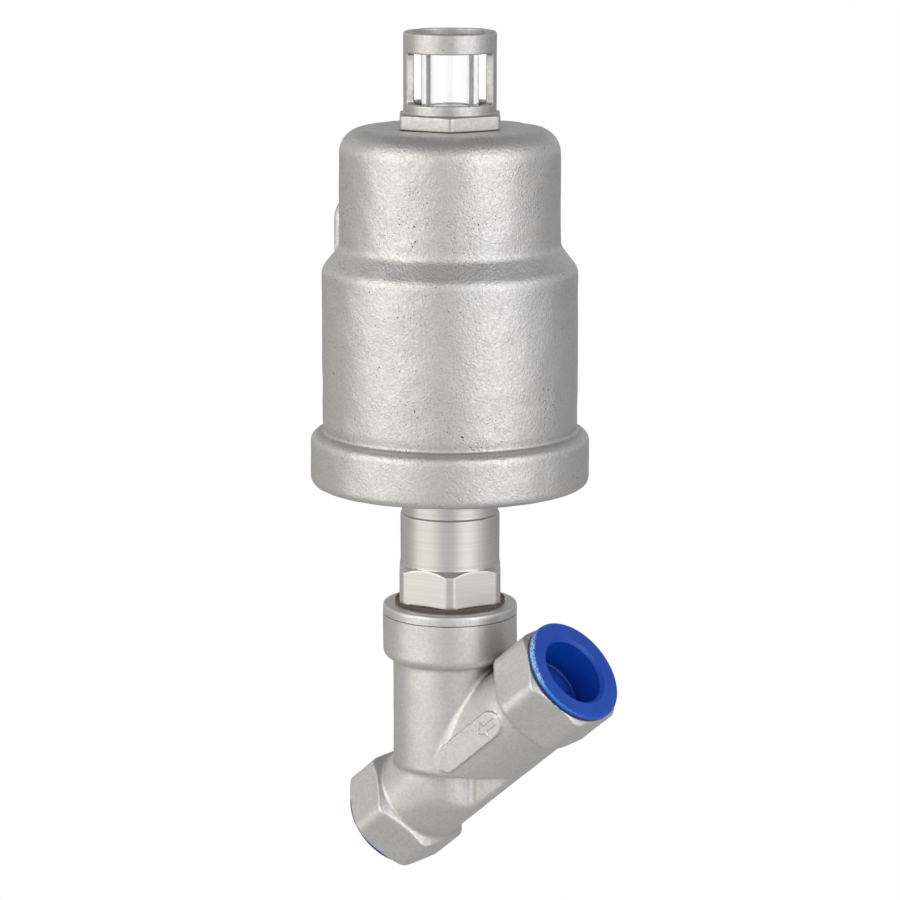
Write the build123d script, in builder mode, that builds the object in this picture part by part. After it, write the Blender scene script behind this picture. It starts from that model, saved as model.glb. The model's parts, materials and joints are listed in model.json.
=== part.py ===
"""Pneumatic angle-seat valve: stainless Y body, single-acting piston actuator, position indicator.

Millimetres. The origin is the crossing of the stem axis and the pipe line.
+Z runs up the stem, +X leans towards the inlet port, and XZ is the plane that holds both axes.
"""

from build123d import *
from math import cos, radians, sin
import os

os.makedirs("parts", exist_ok=True)

# ---------------------------------------------------------------- driving dimensions
# Pipe line: G 1/2 ports, 72 mm face to face, 50 degrees from the stem
flow_angle = 50
inlet_reach = 48.0
outlet_reach = 24.0
port_thread_radius = 9.3
port_thread_depth = 13.0
port_wall = 3.85
port_corner_rise = 1.45
inlet_hex_length = 14.0
outlet_hex_length = 12.3
hex_shoulder = 1.6
pipe_tube_wall = 2.9
inlet_passage_radius = 7.5
inlet_passage_start = 5.5
outlet_bore_end = 2.2

# Body barrel, collar and seat
barrel_wall = 3.0
barrel_floor = 2.4
floor_thickness = 3.1
collar_wall = 4.5
collar_height = 11.4
collar_cone = 3.0
collar_chamfer = 1.5
lip_height = 2.6
lip_groove = 0.35
seat_radius = 6.5
seat_land = 0.8
seat_height = 0.8
seat_bevel = 0.9
orifice_drop = 3.0
bowl_offset = -2.5
rib_thickness = 4.8
rib_reach = 30.0

# Cast flow-arrow pad
pad_length = 24.0
pad_width = 6.4
pad_raise = 0.45
pad_centre = 19.8
pad_root = 6.0
arrow_place = 7.5
arrow_length = 6.5
arrow_head_length = 2.4
arrow_head_width = 4.2
arrow_shaft_width = 1.6
arrow_raise = 0.35

# Bonnet: male thread M24, hexagon, neck, polished spigot, top thread
bonnet_thread_step = 1.0
bonnet_thread_length = 10.6
bonnet_hex_overhang = 0.3
bonnet_corner_rise = 1.35
bonnet_hex_height = 9.0
neck_radius = 12.1
neck_length = 12.6
spigot_radius = 11.7
spigot_length = 9.4
top_thread_wall = 2.7
top_thread_length = 7.3
gasket_thickness = 0.9
gasket_width = 1.1

# Stem and plug
stem_radius = 5.0
stem_step = 1.0
lift = 11.0
lift_clearance = 1.1
plug_overhang = 1.5
plug_way = 2.2
plug_height = 6.4
plug_neck_length = 6.2
plug_neck_wall = 1.5
seal_thickness = 2.58
seal_skirt = 1.7
seal_stud_radius = 3.0
retainer_way = 0.7
retainer_thickness = 1.92
seal_nut_flats = 9.0
seal_nut_height = 4.0
pin_radius = 1.25

# Stem packing
packing_width = 2.8
packing_floor = 9.8
guide_wall = 1.5
wiper_height = 2.0
packing_washer_height = 1.2
packing_spring_height = 8.0
packing_spring_wire = 1.5
packing_spring_turns = 3.5
pressure_ring_height = 2.0
v_ring_height = 2.0
v_ring_count = 4
v_ring_depth = 0.8
adapter_height = 2.2
gland_height = 13.6
stem_seal_section = 1.8
stem_seal_drop = 3.6
driver_slot_width = 1.8
driver_slot_depth = 1.8

# Actuator housing, its heights counted up from the base plate
bore_radius = 25.0
cylinder_wall = 6.0
plate_ledge = 4.0
rim_wall = 4.9
rim_drop = 2.2
rim_straight = 9.75
rim_round = 3.5
rim_edge_round = 2.0
cylinder_height = 45.3
shoulder_height = 5.3
shoulder_lower_fillet = 4.0
shoulder_upper_fillet = 3.5
upper_height = 28.4
top_fillet = 6.0
top_wall = 4.0
bore_top_wall = 4.9
bore_run_out = 4.0
spring_room_step = 2.5
spring_room_wall = 4.2
plate_thickness = 5.4
plate_boss_wall = 4.5
plate_boss_height = 1.9
plate_seal_section = 2.4
snap_ring_thickness = 1.2
snap_ring_width = 3.0
snap_ring_bite = 1.2
snap_ring_gap = 14.0

# Air ports G 1/8
air_thread_radius = 4.28
air_pad_wall = 2.07
air_drill_radius = 1.5
lower_air_rise = 5.6
lower_air_stand = 4.0
lower_air_depth = 8.0
upper_air_rise = 3.9
upper_air_stand = 4.8
upper_air_depth = 7.0

# Piston and spring
piston_rise = 3.4
piston_hub_gap = 3.5
piston_hub_drop = 4.5
piston_height = 10.0
piston_seat_height = 1.5
piston_seal_height = 3.2
piston_seal_depth = 2.6
piston_seal_lip = 0.8
piston_seal_rise = 1.6
guide_ring_height = 2.4
guide_ring_depth = 1.2
guide_ring_rise = 6.3
hub_seal_section = 1.5
nut_washer_way = 1.5
nut_washer_thickness = 1.5
piston_nut_flats = 13.0
piston_nut_height = 6.5
stem_over_nut = 1.5
spring_wire = 4.0
spring_gap = 3.0
spring_turns = 7.0
guide_flange_gap = 2.5
guide_flange_thickness = 2.0
guide_tube_gap = 3.0
guide_tube_wall = 2.0

# Position indicator
indicator_foot = 0.8
indicator_corner_rise = 1.7
indicator_hex_height = 3.5
indicator_bevel = 0.25
guard_wall = 1.9
guard_bore = 9.3
guard_thread_wall = 5.3
guard_over_window = 1.0
window_bottom = 2.5
window_top_band = 5.0
window_opening = 132
window_bearing = -52
hex_turn = 8
window_wall = 2.2
window_gap = 2.4
window_cap = 1.5
window_o_ring = 1.3
puck_gap = 2.5
puck_way = 2.0
puck_headroom = 4.0
puck_height = 10.8
puck_below_window = 0.5
rod_radius = 1.3
rod_grip = 4.0

# Blue transport plugs
cap_flange_overhang = 0.1
cap_flange_thickness = 1.6
outlet_cap_inset = 0.65
outlet_cap_thickness = 1.2
cap_lip_bevel = 0.8
cap_depth = 9.5
cap_wall = 0.9
cap_floor = 1.2
cap_ring_radius = 5.6
cap_ring_width = 0.7
cap_ring_height = 0.35

# Clearances
thread_clearance = 0.05
slide_clearance = 0.05
stem_way = 0.2
assembly_clearance = 0.02
seat_contact_gap = 0.02
piston_clearance = 0.2
cap_clearance = 0.1
edge_break = 0.5
fine_edge_break = 0.25

# ---------------------------------------------------------------- derived places
flow_direction = Vector(sin(radians(flow_angle)), 0, cos(radians(flow_angle)))
pipe_plane = Plane(origin=(0, 0, 0), x_dir=(0, 1, 0), z_dir=flow_direction)
port_flats = 2 * (port_thread_radius + port_wall)
port_corners = port_flats + 2 * port_corner_rise
pipe_tube_radius = port_thread_radius + pipe_tube_wall
inlet_hex_start = inlet_reach - inlet_hex_length
outlet_hex_start = outlet_reach - outlet_hex_length

plug_radius = seat_radius + seat_land + plug_overhang
retainer_radius = seat_radius - retainer_way
chamber_radius = plug_radius + plug_way
bonnet_thread_radius = chamber_radius + bonnet_thread_step
barrel_radius = chamber_radius + barrel_wall
chamber_floor = barrel_floor + floor_thickness
seat_top = chamber_floor + seat_height

seal_bottom = seat_top + seat_contact_gap
seal_top = seal_bottom + seal_thickness
plug_top = seal_top + plug_height
plug_neck_top = plug_top + plug_neck_length
retainer_bottom = seal_bottom - retainer_thickness
seal_nut_bottom = retainer_bottom - seal_nut_height

bonnet_bottom = plug_neck_top + lift + lift_clearance
collar_top = bonnet_bottom + bonnet_thread_length - gasket_thickness
collar_radius = bonnet_thread_radius + collar_wall
collar_bottom = collar_top - collar_height

bonnet_flats = 2 * (bonnet_thread_radius + bonnet_hex_overhang)
bonnet_corners = bonnet_flats + 2 * bonnet_corner_rise
hex_bottom = collar_top + gasket_thickness
hex_top = hex_bottom + bonnet_hex_height
neck_top = hex_top + neck_length
spigot_top = neck_top + spigot_length
bonnet_top = spigot_top + top_thread_length
gasket_inner_radius = bonnet_thread_radius + bonnet_hex_overhang
gasket_outer_radius = gasket_inner_radius + gasket_width

packing_radius = stem_radius + packing_width
top_thread_radius = packing_radius + top_thread_wall
guide_radius = stem_radius + guide_wall
spigot_stem_radius = stem_radius - stem_step
plug_neck_radius = stem_radius + plug_neck_wall

box_floor = bonnet_bottom + packing_floor
packing_spring_bottom = box_floor + packing_washer_height
pressure_ring_bottom = packing_spring_bottom + packing_spring_height
lower_adapter_bottom = pressure_ring_bottom + pressure_ring_height
v_rings_bottom = lower_adapter_bottom + adapter_height
upper_adapter_bottom = v_rings_bottom + v_ring_count * v_ring_height
gland_bottom = upper_adapter_bottom + adapter_height
gland_top = gland_bottom + gland_height

plate_bottom = spigot_top
plate_top = plate_bottom + plate_thickness
plate_seat_radius = bore_radius + plate_ledge
snap_ring_outer = plate_seat_radius + snap_ring_bite
snap_ring_inner = snap_ring_outer - snap_ring_width
plate_boss_radius = top_thread_radius + plate_boss_wall

rim_bottom = plate_bottom - rim_drop
rim_straight_top = rim_bottom + rim_straight
rim_radius = plate_seat_radius + rim_wall
main_radius = bore_radius + cylinder_wall
shoulder_bottom = plate_top + cylinder_height
bore_top = shoulder_bottom - bore_top_wall
shoulder_top = shoulder_bottom + shoulder_height
housing_top = shoulder_top + upper_height
room_top = housing_top - top_wall
spring_room_radius = bore_radius - spring_room_step
upper_radius = spring_room_radius + spring_room_wall

air_pad_radius = air_thread_radius + air_pad_wall
lower_air_height = plate_top + lower_air_rise
lower_air_face = main_radius + lower_air_stand
upper_air_height = shoulder_top + upper_air_rise
upper_air_face = upper_radius + upper_air_stand

spring_mean_radius = spring_room_radius - spring_gap - spring_wire / 2
piston_bottom = plate_top + piston_rise
piston_hub_radius = spring_mean_radius - piston_hub_gap
piston_skirt_bottom = piston_bottom + piston_hub_drop
piston_top = piston_skirt_bottom + piston_height
piston_seat_top = piston_top + piston_seat_height
washer_top = piston_seat_top + nut_washer_thickness
nut_top = washer_top + piston_nut_height
stem_top = nut_top + stem_over_nut
guide_flange_radius = spring_room_radius - guide_flange_gap
guide_flange_bottom = room_top - guide_flange_thickness
guide_tube_outer = spring_mean_radius - spring_wire / 2 - guide_tube_gap
guide_tube_inner = guide_tube_outer - guide_tube_wall
nut_washer_radius = guide_tube_inner - nut_washer_way
guide_tube_bottom = piston_seat_top + lift + slide_clearance

guard_radius = guard_bore + guard_wall
window_outer = guard_bore - window_gap
window_inner = window_outer - window_wall
puck_radius = window_inner - puck_gap
guard_throat = puck_radius + puck_way
guard_thread_radius = guard_throat + guard_thread_wall
indicator_flats = 2 * (guard_radius + indicator_foot)
indicator_corners = indicator_flats + 2 * indicator_corner_rise
guard_bottom = housing_top + indicator_hex_height
window_seat = guard_bottom + edge_break
window_tube_bottom = window_seat + window_o_ring
puck_top = guard_bottom + window_bottom - puck_below_window
puck_bottom = puck_top - puck_height
window_tube_top = puck_top + lift + puck_headroom + window_cap
guard_top = window_tube_top + guard_over_window
window_opening_height = guard_top - guard_bottom - window_bottom - window_top_band


def turned(profile, plane=Plane.XZ):
    """A solid turned about the stem axis from closed (radius, height) points."""
    with BuildPart() as solid:
        with BuildSketch(plane):
            with BuildLine():
                Polyline(*profile, close=True)
            make_face()
        revolve(axis=Axis(plane.origin, plane.y_dir))
    return solid.part


def ring(inner, outer, bottom, top):
    """A plain ring about the stem axis."""
    return turned([(inner, bottom), (outer, bottom), (outer, top), (inner, top)])


def hex_bar(flats, corners, length, lower_bevel, upper_bevel):
    """A hexagon bar along +Z with its corners turned to a circle and both ends bevelled.

    Each bevel is (radius at the end face, length of the bevel).
    """
    corner_radius = corners / 2
    with BuildPart() as bar:
        with BuildSketch():
            RegularPolygon(flats / 2, 6, major_radius=False)
        extrude(amount=length)
        with BuildSketch(Plane.XZ):
            with BuildLine():
                Polyline(
                    (0, 0),
                    (lower_bevel[0], 0),
                    (corner_radius, lower_bevel[1]),
                    (corner_radius, length - upper_bevel[1]),
                    (upper_bevel[0], length),
                    (0, length),
                    close=True,
                )
            make_face()
        revolve(axis=Axis.Z, mode=Mode.INTERSECT)
    return bar.part


def hex_nut(flats, hole_radius, bottom, height):
    """A hexagon nut about the stem axis."""
    corners = flats / cos(radians(30)) - edge_break
    bevel = (flats / 2, edge_break)
    with BuildPart() as nut:
        with Locations((0, 0, bottom)):
            add(hex_bar(flats, corners, height, bevel, bevel))
        with Locations((0, 0, bottom)):
            Cylinder(
            hole_radius,
            height,
            align=(Align.CENTER, Align.CENTER, Align.MIN),
            mode=Mode.SUBTRACT,
        )
    return nut.part


def o_ring(inner, section, middle_height):
    """A round-section ring about the stem axis."""
    with BuildPart() as seal:
        with Locations((0, 0, middle_height)):
            Torus(inner + section / 2, section / 2)
    return seal.part


def coil(mean_radius, wire, turns, bottom, height):
    """A helical spring whose wire fills the height from bottom upwards."""
    pitch = (height - wire) / turns
    with BuildPart() as spring:
        with BuildLine() as path:
            Helix(pitch, height - wire, mean_radius, center=(0, 0, bottom + wire / 2))
        with BuildSketch(Plane(origin=path.line @ 0, z_dir=path.line % 0)):
            Circle(wire / 2)
        sweep()
    return spring.part


def finish(solid, name):
    """Label a finished piece and write its file."""
    solid.label = name
    export_step(solid, f"parts/{name}.step")


# ---------------------------------------------------------------- valve body
with BuildPart() as inlet_passage:
    with BuildSketch(pipe_plane.offset(inlet_passage_start)):
        Circle(inlet_passage_radius)
    extrude(amount=inlet_reach - port_thread_depth - inlet_passage_start)
    split(bisect_by=Plane.XY.offset(chamber_floor), keep=Keep.TOP)

with BuildPart() as valve_body:
    # barrel and collar, turned about the stem, with the groove under the machined lip
    with BuildSketch(Plane.XZ):
        with BuildLine():
            Polyline(
                (0, barrel_floor),
                (barrel_radius, barrel_floor),
                (barrel_radius, collar_bottom - collar_cone),
                (collar_radius, collar_bottom),
                (collar_radius, collar_top - lip_height - lip_groove),
                (collar_radius - lip_groove, collar_top - lip_height),
                (collar_radius, collar_top - lip_height + lip_groove),
                (collar_radius, collar_top - edge_break),
                (collar_radius - collar_chamfer, collar_top),
                (0, collar_top),
                close=True,
            )
        make_face()
    revolve(axis=Axis.Z)
    # tube along the pipe line
    with BuildSketch(pipe_plane.offset(-outlet_hex_start)):
        Circle(pipe_tube_radius)
    extrude(amount=inlet_hex_start + outlet_hex_start)
    # recesses under the inlet, either side of the rib, leaving the round outlet bowl
    with BuildSketch(Plane.XY.offset(barrel_floor)):
        with Locations((bowl_offset, 0)):
            Rectangle(rib_reach, 2 * rib_reach, align=(Align.MIN, Align.CENTER))
            Circle(pipe_tube_radius, mode=Mode.SUBTRACT)
            Rectangle(2 * rib_reach, rib_thickness, mode=Mode.SUBTRACT)
    extrude(amount=-rib_reach, mode=Mode.SUBTRACT)
    # port hexagons: bright turned bevel outside, shoulder running into the tube inside
    outer_bevel = (port_flats / 2, hex_shoulder / 2)
    inner_bevel = (pipe_tube_radius, hex_shoulder)
    with Locations(pipe_plane.offset(inlet_hex_start)):
        add(hex_bar(port_flats, port_corners, inlet_hex_length, inner_bevel, outer_bevel))
    with Locations(pipe_plane.offset(-outlet_reach)):
        add(hex_bar(port_flats, port_corners, outlet_hex_length, outer_bevel, inner_bevel))
    # raised pad with the flow arrow
    pad_face = Plane(
        origin=flow_direction * pad_centre + Vector(0, -pipe_tube_radius - pad_raise, 0),
        x_dir=flow_direction,
        z_dir=(0, -1, 0),
    )
    with BuildSketch(pad_face):
        SlotOverall(pad_length, pad_width)
    extrude(amount=-pad_root)
    with BuildSketch(pad_face):
        with Locations((arrow_place - arrow_length / 2, 0)):
            with BuildLine():
                Polyline(
                    (0, 0),
                    (arrow_head_length, arrow_head_width / 2),
                    (arrow_head_length, arrow_shaft_width / 2),
                    (arrow_length, arrow_shaft_width / 2),
                    (arrow_length, -arrow_shaft_width / 2),
                    (arrow_head_length, -arrow_shaft_width / 2),
                    (arrow_head_length, -arrow_head_width / 2),
                    close=True,
                )
            make_face()
    extrude(amount=arrow_raise)
    # orifice, seat, chamber and bonnet thread, turned about the stem
    with BuildSketch(Plane.XZ):
        with BuildLine():
            Polyline(
                (0, -orifice_drop),
                (seat_radius, -orifice_drop),
                (seat_radius, seat_top),
                (seat_radius + seat_land, seat_top),
                (seat_radius + seat_land + seat_bevel, chamber_floor),
                (chamber_radius, chamber_floor),
                (chamber_radius, bonnet_bottom - edge_break),
                (bonnet_thread_radius, bonnet_bottom - edge_break),
                (bonnet_thread_radius, collar_top),
                (0, collar_top),
                close=True,
            )
        make_face()
    revolve(axis=Axis.Z, mode=Mode.SUBTRACT)
    with Locations((0, 0, -orifice_drop)):
        Sphere(seat_radius, mode=Mode.SUBTRACT)
    add(inlet_passage.part, mode=Mode.SUBTRACT)
    # outlet passage and the two G 1/2 threads
    with BuildSketch(pipe_plane.offset(-outlet_reach)):
        Circle(seat_radius)
    extrude(amount=outlet_reach - outlet_bore_end, mode=Mode.SUBTRACT)
    with Locations(pipe_plane.offset(inlet_reach), pipe_plane.offset(port_thread_depth - outlet_reach)):
        Cylinder(
            port_thread_radius,
            port_thread_depth,
            align=(Align.CENTER, Align.CENTER, Align.MAX),
            mode=Mode.SUBTRACT,
        )
finish(valve_body.part, "valve_body")

# ---------------------------------------------------------------- bonnet
with BuildPart() as bonnet:
    with BuildSketch(Plane.XZ):
        with BuildLine():
            Polyline(
                (0, bonnet_bottom),
                (bonnet_thread_radius - edge_break, bonnet_bottom),
                (bonnet_thread_radius - thread_clearance, bonnet_bottom + edge_break),
                (bonnet_thread_radius - thread_clearance, hex_bottom),
                (neck_radius, hex_bottom),
                (neck_radius, neck_top),
                (spigot_radius, neck_top),
                (spigot_radius, spigot_top),
                (top_thread_radius - thread_clearance, spigot_top),
                (top_thread_radius - thread_clearance, bonnet_top - edge_break),
                (top_thread_radius - edge_break, bonnet_top),
                (0, bonnet_top),
                close=True,
            )
        make_face()
    revolve(axis=Axis.Z)
    with Locations(Location((0, 0, hex_bottom), (0, 0, hex_turn))):
        add(
            hex_bar(
                bonnet_flats,
                bonnet_corners,
                bonnet_hex_height,
                (bonnet_corners / 2, edge_break),
                (bonnet_flats / 2, 2 * edge_break),
            )
        )
    # stem hole, guide pocket below and packing box above
    with BuildSketch(Plane.XZ):
        with BuildLine():
            Polyline(
                (0, bonnet_bottom),
                (guide_radius, bonnet_bottom),
                (guide_radius, box_floor - packing_washer_height),
                (stem_radius + stem_way, box_floor - packing_washer_height),
                (stem_radius + stem_way, box_floor),
                (packing_radius, box_floor),
                (packing_radius, bonnet_top),
                (0, bonnet_top),
                close=True,
            )
        make_face()
    revolve(axis=Axis.Z, mode=Mode.SUBTRACT)
finish(bonnet.part, "bonnet")

finish(ring(gasket_inner_radius, gasket_outer_radius, collar_top, hex_bottom), "body_gasket")

# ---------------------------------------------------------------- stem guide and packing
stem_hole = stem_radius + slide_clearance
bush_bottom = bonnet_bottom + wiper_height
finish(ring(stem_hole, guide_radius, bonnet_bottom, bush_bottom), "wiper_ring")
finish(ring(stem_hole, guide_radius, bush_bottom, box_floor - packing_washer_height), "stem_bush")
finish(ring(stem_hole, packing_radius, box_floor, packing_spring_bottom), "packing_washer")
packing_spring_radius = (stem_radius + packing_radius) / 2
packing_spring = coil(
    packing_spring_radius,
    packing_spring_wire,
    packing_spring_turns,
    packing_spring_bottom,
    packing_spring_height,
)
finish(packing_spring, "packing_spring")
finish(ring(stem_hole, packing_radius, pressure_ring_bottom, lower_adapter_bottom), "pressure_ring")

packing_middle = (stem_hole + packing_radius) / 2
lower_adapter = turned(
    [
        (stem_hole, lower_adapter_bottom),
        (packing_radius, lower_adapter_bottom),
        (packing_radius, v_rings_bottom),
        (packing_middle, v_rings_bottom + v_ring_depth),
        (stem_hole, v_rings_bottom),
    ]
)
finish(lower_adapter, "lower_packing_adapter")
v_ring = turned(
    [
        (stem_hole, v_rings_bottom),
        (packing_middle, v_rings_bottom + v_ring_depth),
        (packing_radius, v_rings_bottom),
        (packing_radius, v_rings_bottom + v_ring_height),
        (packing_middle, v_rings_bottom + v_ring_height + v_ring_depth),
        (stem_hole, v_rings_bottom + v_ring_height),
    ]
)
packing_rings = Compound(
    children=[Pos(0, 0, step * v_ring_height) * v_ring for step in range(v_ring_count)]
)
finish(packing_rings, "packing_rings")
upper_adapter = turned(
    [
        (stem_hole, upper_adapter_bottom),
        (packing_middle, upper_adapter_bottom + v_ring_depth),
        (packing_radius, upper_adapter_bottom),
        (packing_radius, gland_bottom),
        (stem_hole, gland_bottom),
    ]
)
finish(upper_adapter, "upper_packing_adapter")

# gland nut, screwed down on the packing, with an air seal near its top
stem_seal_middle = gland_top - stem_seal_drop
gland_outer = packing_radius - thread_clearance
groove_radius = stem_radius + assembly_clearance + stem_seal_section
with BuildPart() as gland_nut:
    with BuildSketch(Plane.XZ):
        with BuildLine():
            Polyline(
                (stem_hole, gland_bottom),
                (gland_outer, gland_bottom),
                (gland_outer, gland_top),
                (stem_hole, gland_top),
                (stem_hole, stem_seal_middle + stem_seal_section / 2),
                (groove_radius, stem_seal_middle + stem_seal_section / 2),
                (groove_radius, stem_seal_middle - stem_seal_section / 2),
                (stem_hole, stem_seal_middle - stem_seal_section / 2),
                close=True,
            )
        make_face()
    revolve(axis=Axis.Z)
    # driver slot across the top
    with Locations((0, 0, gland_top)):
        Box(3 * gland_outer, driver_slot_width, 2 * driver_slot_depth, mode=Mode.SUBTRACT)
finish(gland_nut.part, "gland_nut")
finish(o_ring(stem_radius + assembly_clearance, stem_seal_section, stem_seal_middle), "stem_o_ring")

# ---------------------------------------------------------------- stem and plug
socket_bottom = plug_top + edge_break
pin_height = (socket_bottom + plug_neck_top) / 2
with BuildPart() as stem:
    with BuildSketch(Plane.XZ):
        with BuildLine():
            Polyline(
                (0, socket_bottom),
                (spigot_stem_radius, socket_bottom),
                (spigot_stem_radius, plug_neck_top),
                (stem_radius, plug_neck_top),
                (stem_radius, piston_bottom),
                (spigot_stem_radius, piston_bottom),
                (spigot_stem_radius, stem_top - edge_break),
                (spigot_stem_radius - edge_break, stem_top),
                (rod_radius, stem_top),
                (rod_radius, stem_top - rod_grip),
                (0, stem_top - rod_grip),
                close=True,
            )
        make_face()
    revolve(axis=Axis.Z)
    with Locations((0, 0, pin_height)):
        Cylinder(pin_radius, 4 * stem_radius, rotation=(90, 0, 0), mode=Mode.SUBTRACT)
finish(stem.part, "stem")

with BuildPart() as plug_disc:
    with BuildSketch(Plane.XZ):
        with BuildLine():
            Polyline(
                (0, seal_nut_bottom),
                (seal_stud_radius - edge_break, seal_nut_bottom),
                (seal_stud_radius, seal_nut_bottom + edge_break),
                (seal_stud_radius, seal_top),
                (plug_radius - edge_break, seal_top),
                (plug_radius - edge_break, seal_top - seal_skirt),
                (plug_radius, seal_top - seal_skirt),
                (plug_radius, plug_top - 2 * edge_break),
                (plug_radius - 2 * edge_break, plug_top),
                (plug_neck_radius, plug_top),
                (plug_neck_radius, plug_neck_top),
                (spigot_stem_radius + assembly_clearance, plug_neck_top),
                (spigot_stem_radius + assembly_clearance, socket_bottom),
                (0, socket_bottom),
                close=True,
            )
        make_face()
    revolve(axis=Axis.Z)
    with Locations((0, 0, pin_height)):
        Cylinder(pin_radius, 4 * plug_neck_radius, rotation=(90, 0, 0), mode=Mode.SUBTRACT)
finish(plug_disc.part, "plug_disc")

with BuildPart() as disc_pin:
    with Locations((0, 0, pin_height)):
        Cylinder(pin_radius, 2 * plug_neck_radius - edge_break, rotation=(90, 0, 0))
finish(disc_pin.part, "disc_pin")

stud_hole = seal_stud_radius + assembly_clearance
finish(ring(stud_hole, plug_radius - edge_break - assembly_clearance, seal_bottom, seal_top), "seat_seal")
finish(ring(stud_hole, retainer_radius, retainer_bottom, seal_bottom), "seal_retainer")
finish(hex_nut(seal_nut_flats, stud_hole, seal_nut_bottom, seal_nut_height), "seal_nut")

# ---------------------------------------------------------------- actuator housing
with BuildPart() as actuator_housing:
    with BuildSketch(Plane.XZ):
        with BuildLine():
            rim_top_radius = rim_radius - rim_round
            rim_rise = (rim_round**2 - (main_radius - rim_top_radius) ** 2) ** 0.5
            rim_meets_main = rim_straight_top + rim_rise
            rim_round_start = (rim_radius - rim_edge_round, rim_bottom)
            rim_round_end = (rim_radius, rim_bottom + rim_edge_round)
            Line((0, rim_bottom), rim_round_start)
            RadiusArc(rim_round_start, rim_round_end, -rim_edge_round)
            Line(rim_round_end, (rim_radius, rim_straight_top))
            RadiusArc((rim_radius, rim_straight_top), (main_radius, rim_meets_main), -rim_round)
            FilletPolyline(
                (main_radius, rim_meets_main),
                (main_radius, shoulder_bottom),
                (upper_radius, shoulder_top),
                (upper_radius, housing_top),
                (0, housing_top),
                radius=[shoulder_lower_fillet, shoulder_upper_fillet, top_fillet],
            )
            Line((0, housing_top), (0, rim_bottom))
        make_face()
    revolve(axis=Axis.Z)
    # air port pads, round at the top and running down into the wider casting
    for face, height in ((lower_air_face, lower_air_height), (upper_air_face, upper_air_height)):
        with BuildSketch(Plane.YZ.offset(-face)):
            with Locations((0, height)):
                Circle(air_pad_radius)
                Rectangle(2 * air_pad_radius, 2 * air_pad_radius, align=(Align.CENTER, Align.MAX))
        extrude(amount=face - spring_room_radius - top_wall / 2)
    # the lower pad ends at the rim's underside
    with Locations((0, 0, rim_bottom)):
        Cylinder(
            2 * rim_radius,
            rim_radius,
            align=(Align.CENTER, Align.CENTER, Align.MAX),
            mode=Mode.SUBTRACT,
        )
    # plate seat, snap ring groove, cylinder bore, spring room and indicator thread
    with BuildSketch(Plane.XZ):
        with BuildLine():
            Polyline(
                (0, rim_bottom),
                (plate_seat_radius, rim_bottom),
                (plate_seat_radius, plate_bottom - snap_ring_thickness - assembly_clearance),
                (snap_ring_outer, plate_bottom - snap_ring_thickness - assembly_clearance),
                (snap_ring_outer, plate_bottom),
                (plate_seat_radius, plate_bottom),
                (plate_seat_radius, plate_top),
                (bore_radius, plate_top),
                (bore_radius, bore_top),
                (spring_room_radius, bore_top + bore_run_out),
                (spring_room_radius, room_top),
                (guard_thread_radius, room_top),
                (guard_thread_radius, housing_top),
                (0, housing_top),
                close=True,
            )
        make_face()
    revolve(axis=Axis.Z, mode=Mode.SUBTRACT)
    # threaded air ports and their drillings
    air_ports = (
        (lower_air_face, lower_air_height, lower_air_depth),
        (upper_air_face, upper_air_height, upper_air_depth),
    )
    for face, height, depth in air_ports:
        with BuildSketch(Plane.YZ.offset(-face)):
            with Locations((0, height)):
                Circle(air_thread_radius)
        extrude(amount=depth, mode=Mode.SUBTRACT)
        with BuildSketch(Plane.YZ.offset(-face)):
            with Locations((0, height)):
                Circle(air_drill_radius)
        extrude(amount=face - spring_room_radius + edge_break, mode=Mode.SUBTRACT)
finish(actuator_housing.part, "actuator_housing")

# ---------------------------------------------------------------- base plate, its ring and seal
plate_seal_middle = (plate_bottom + plate_top) / 2
plate_radius = plate_seat_radius - slide_clearance
with BuildPart() as base_plate:
    with BuildSketch(Plane.XZ):
        with BuildLine():
            Polyline(
                (top_thread_radius, plate_bottom),
                (plate_radius, plate_bottom),
                (plate_radius, plate_seal_middle - plate_seal_section / 2),
                (plate_radius - plate_seal_section, plate_seal_middle - plate_seal_section / 2),
                (plate_radius - plate_seal_section, plate_seal_middle + plate_seal_section / 2),
                (plate_radius, plate_seal_middle + plate_seal_section / 2),
                (plate_radius, plate_top),
                (plate_boss_radius, plate_top),
                (plate_boss_radius, plate_top + plate_boss_height),
                (top_thread_radius, plate_top + plate_boss_height),
                close=True,
            )
        make_face()
    revolve(axis=Axis.Z)
finish(base_plate.part, "base_plate")
finish(o_ring(plate_radius - plate_seal_section, plate_seal_section, plate_seal_middle), "base_o_ring")

with BuildPart() as snap_ring:
    with BuildSketch(Plane.XY.offset(plate_bottom - snap_ring_thickness)):
        Circle(snap_ring_outer - slide_clearance)
        Circle(snap_ring_inner, mode=Mode.SUBTRACT)
        with Locations((-snap_ring_outer, 0)):
            Rectangle(snap_ring_outer, snap_ring_gap, mode=Mode.SUBTRACT)
    extrude(amount=snap_ring_thickness)
finish(snap_ring.part, "snap_ring")

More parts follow.
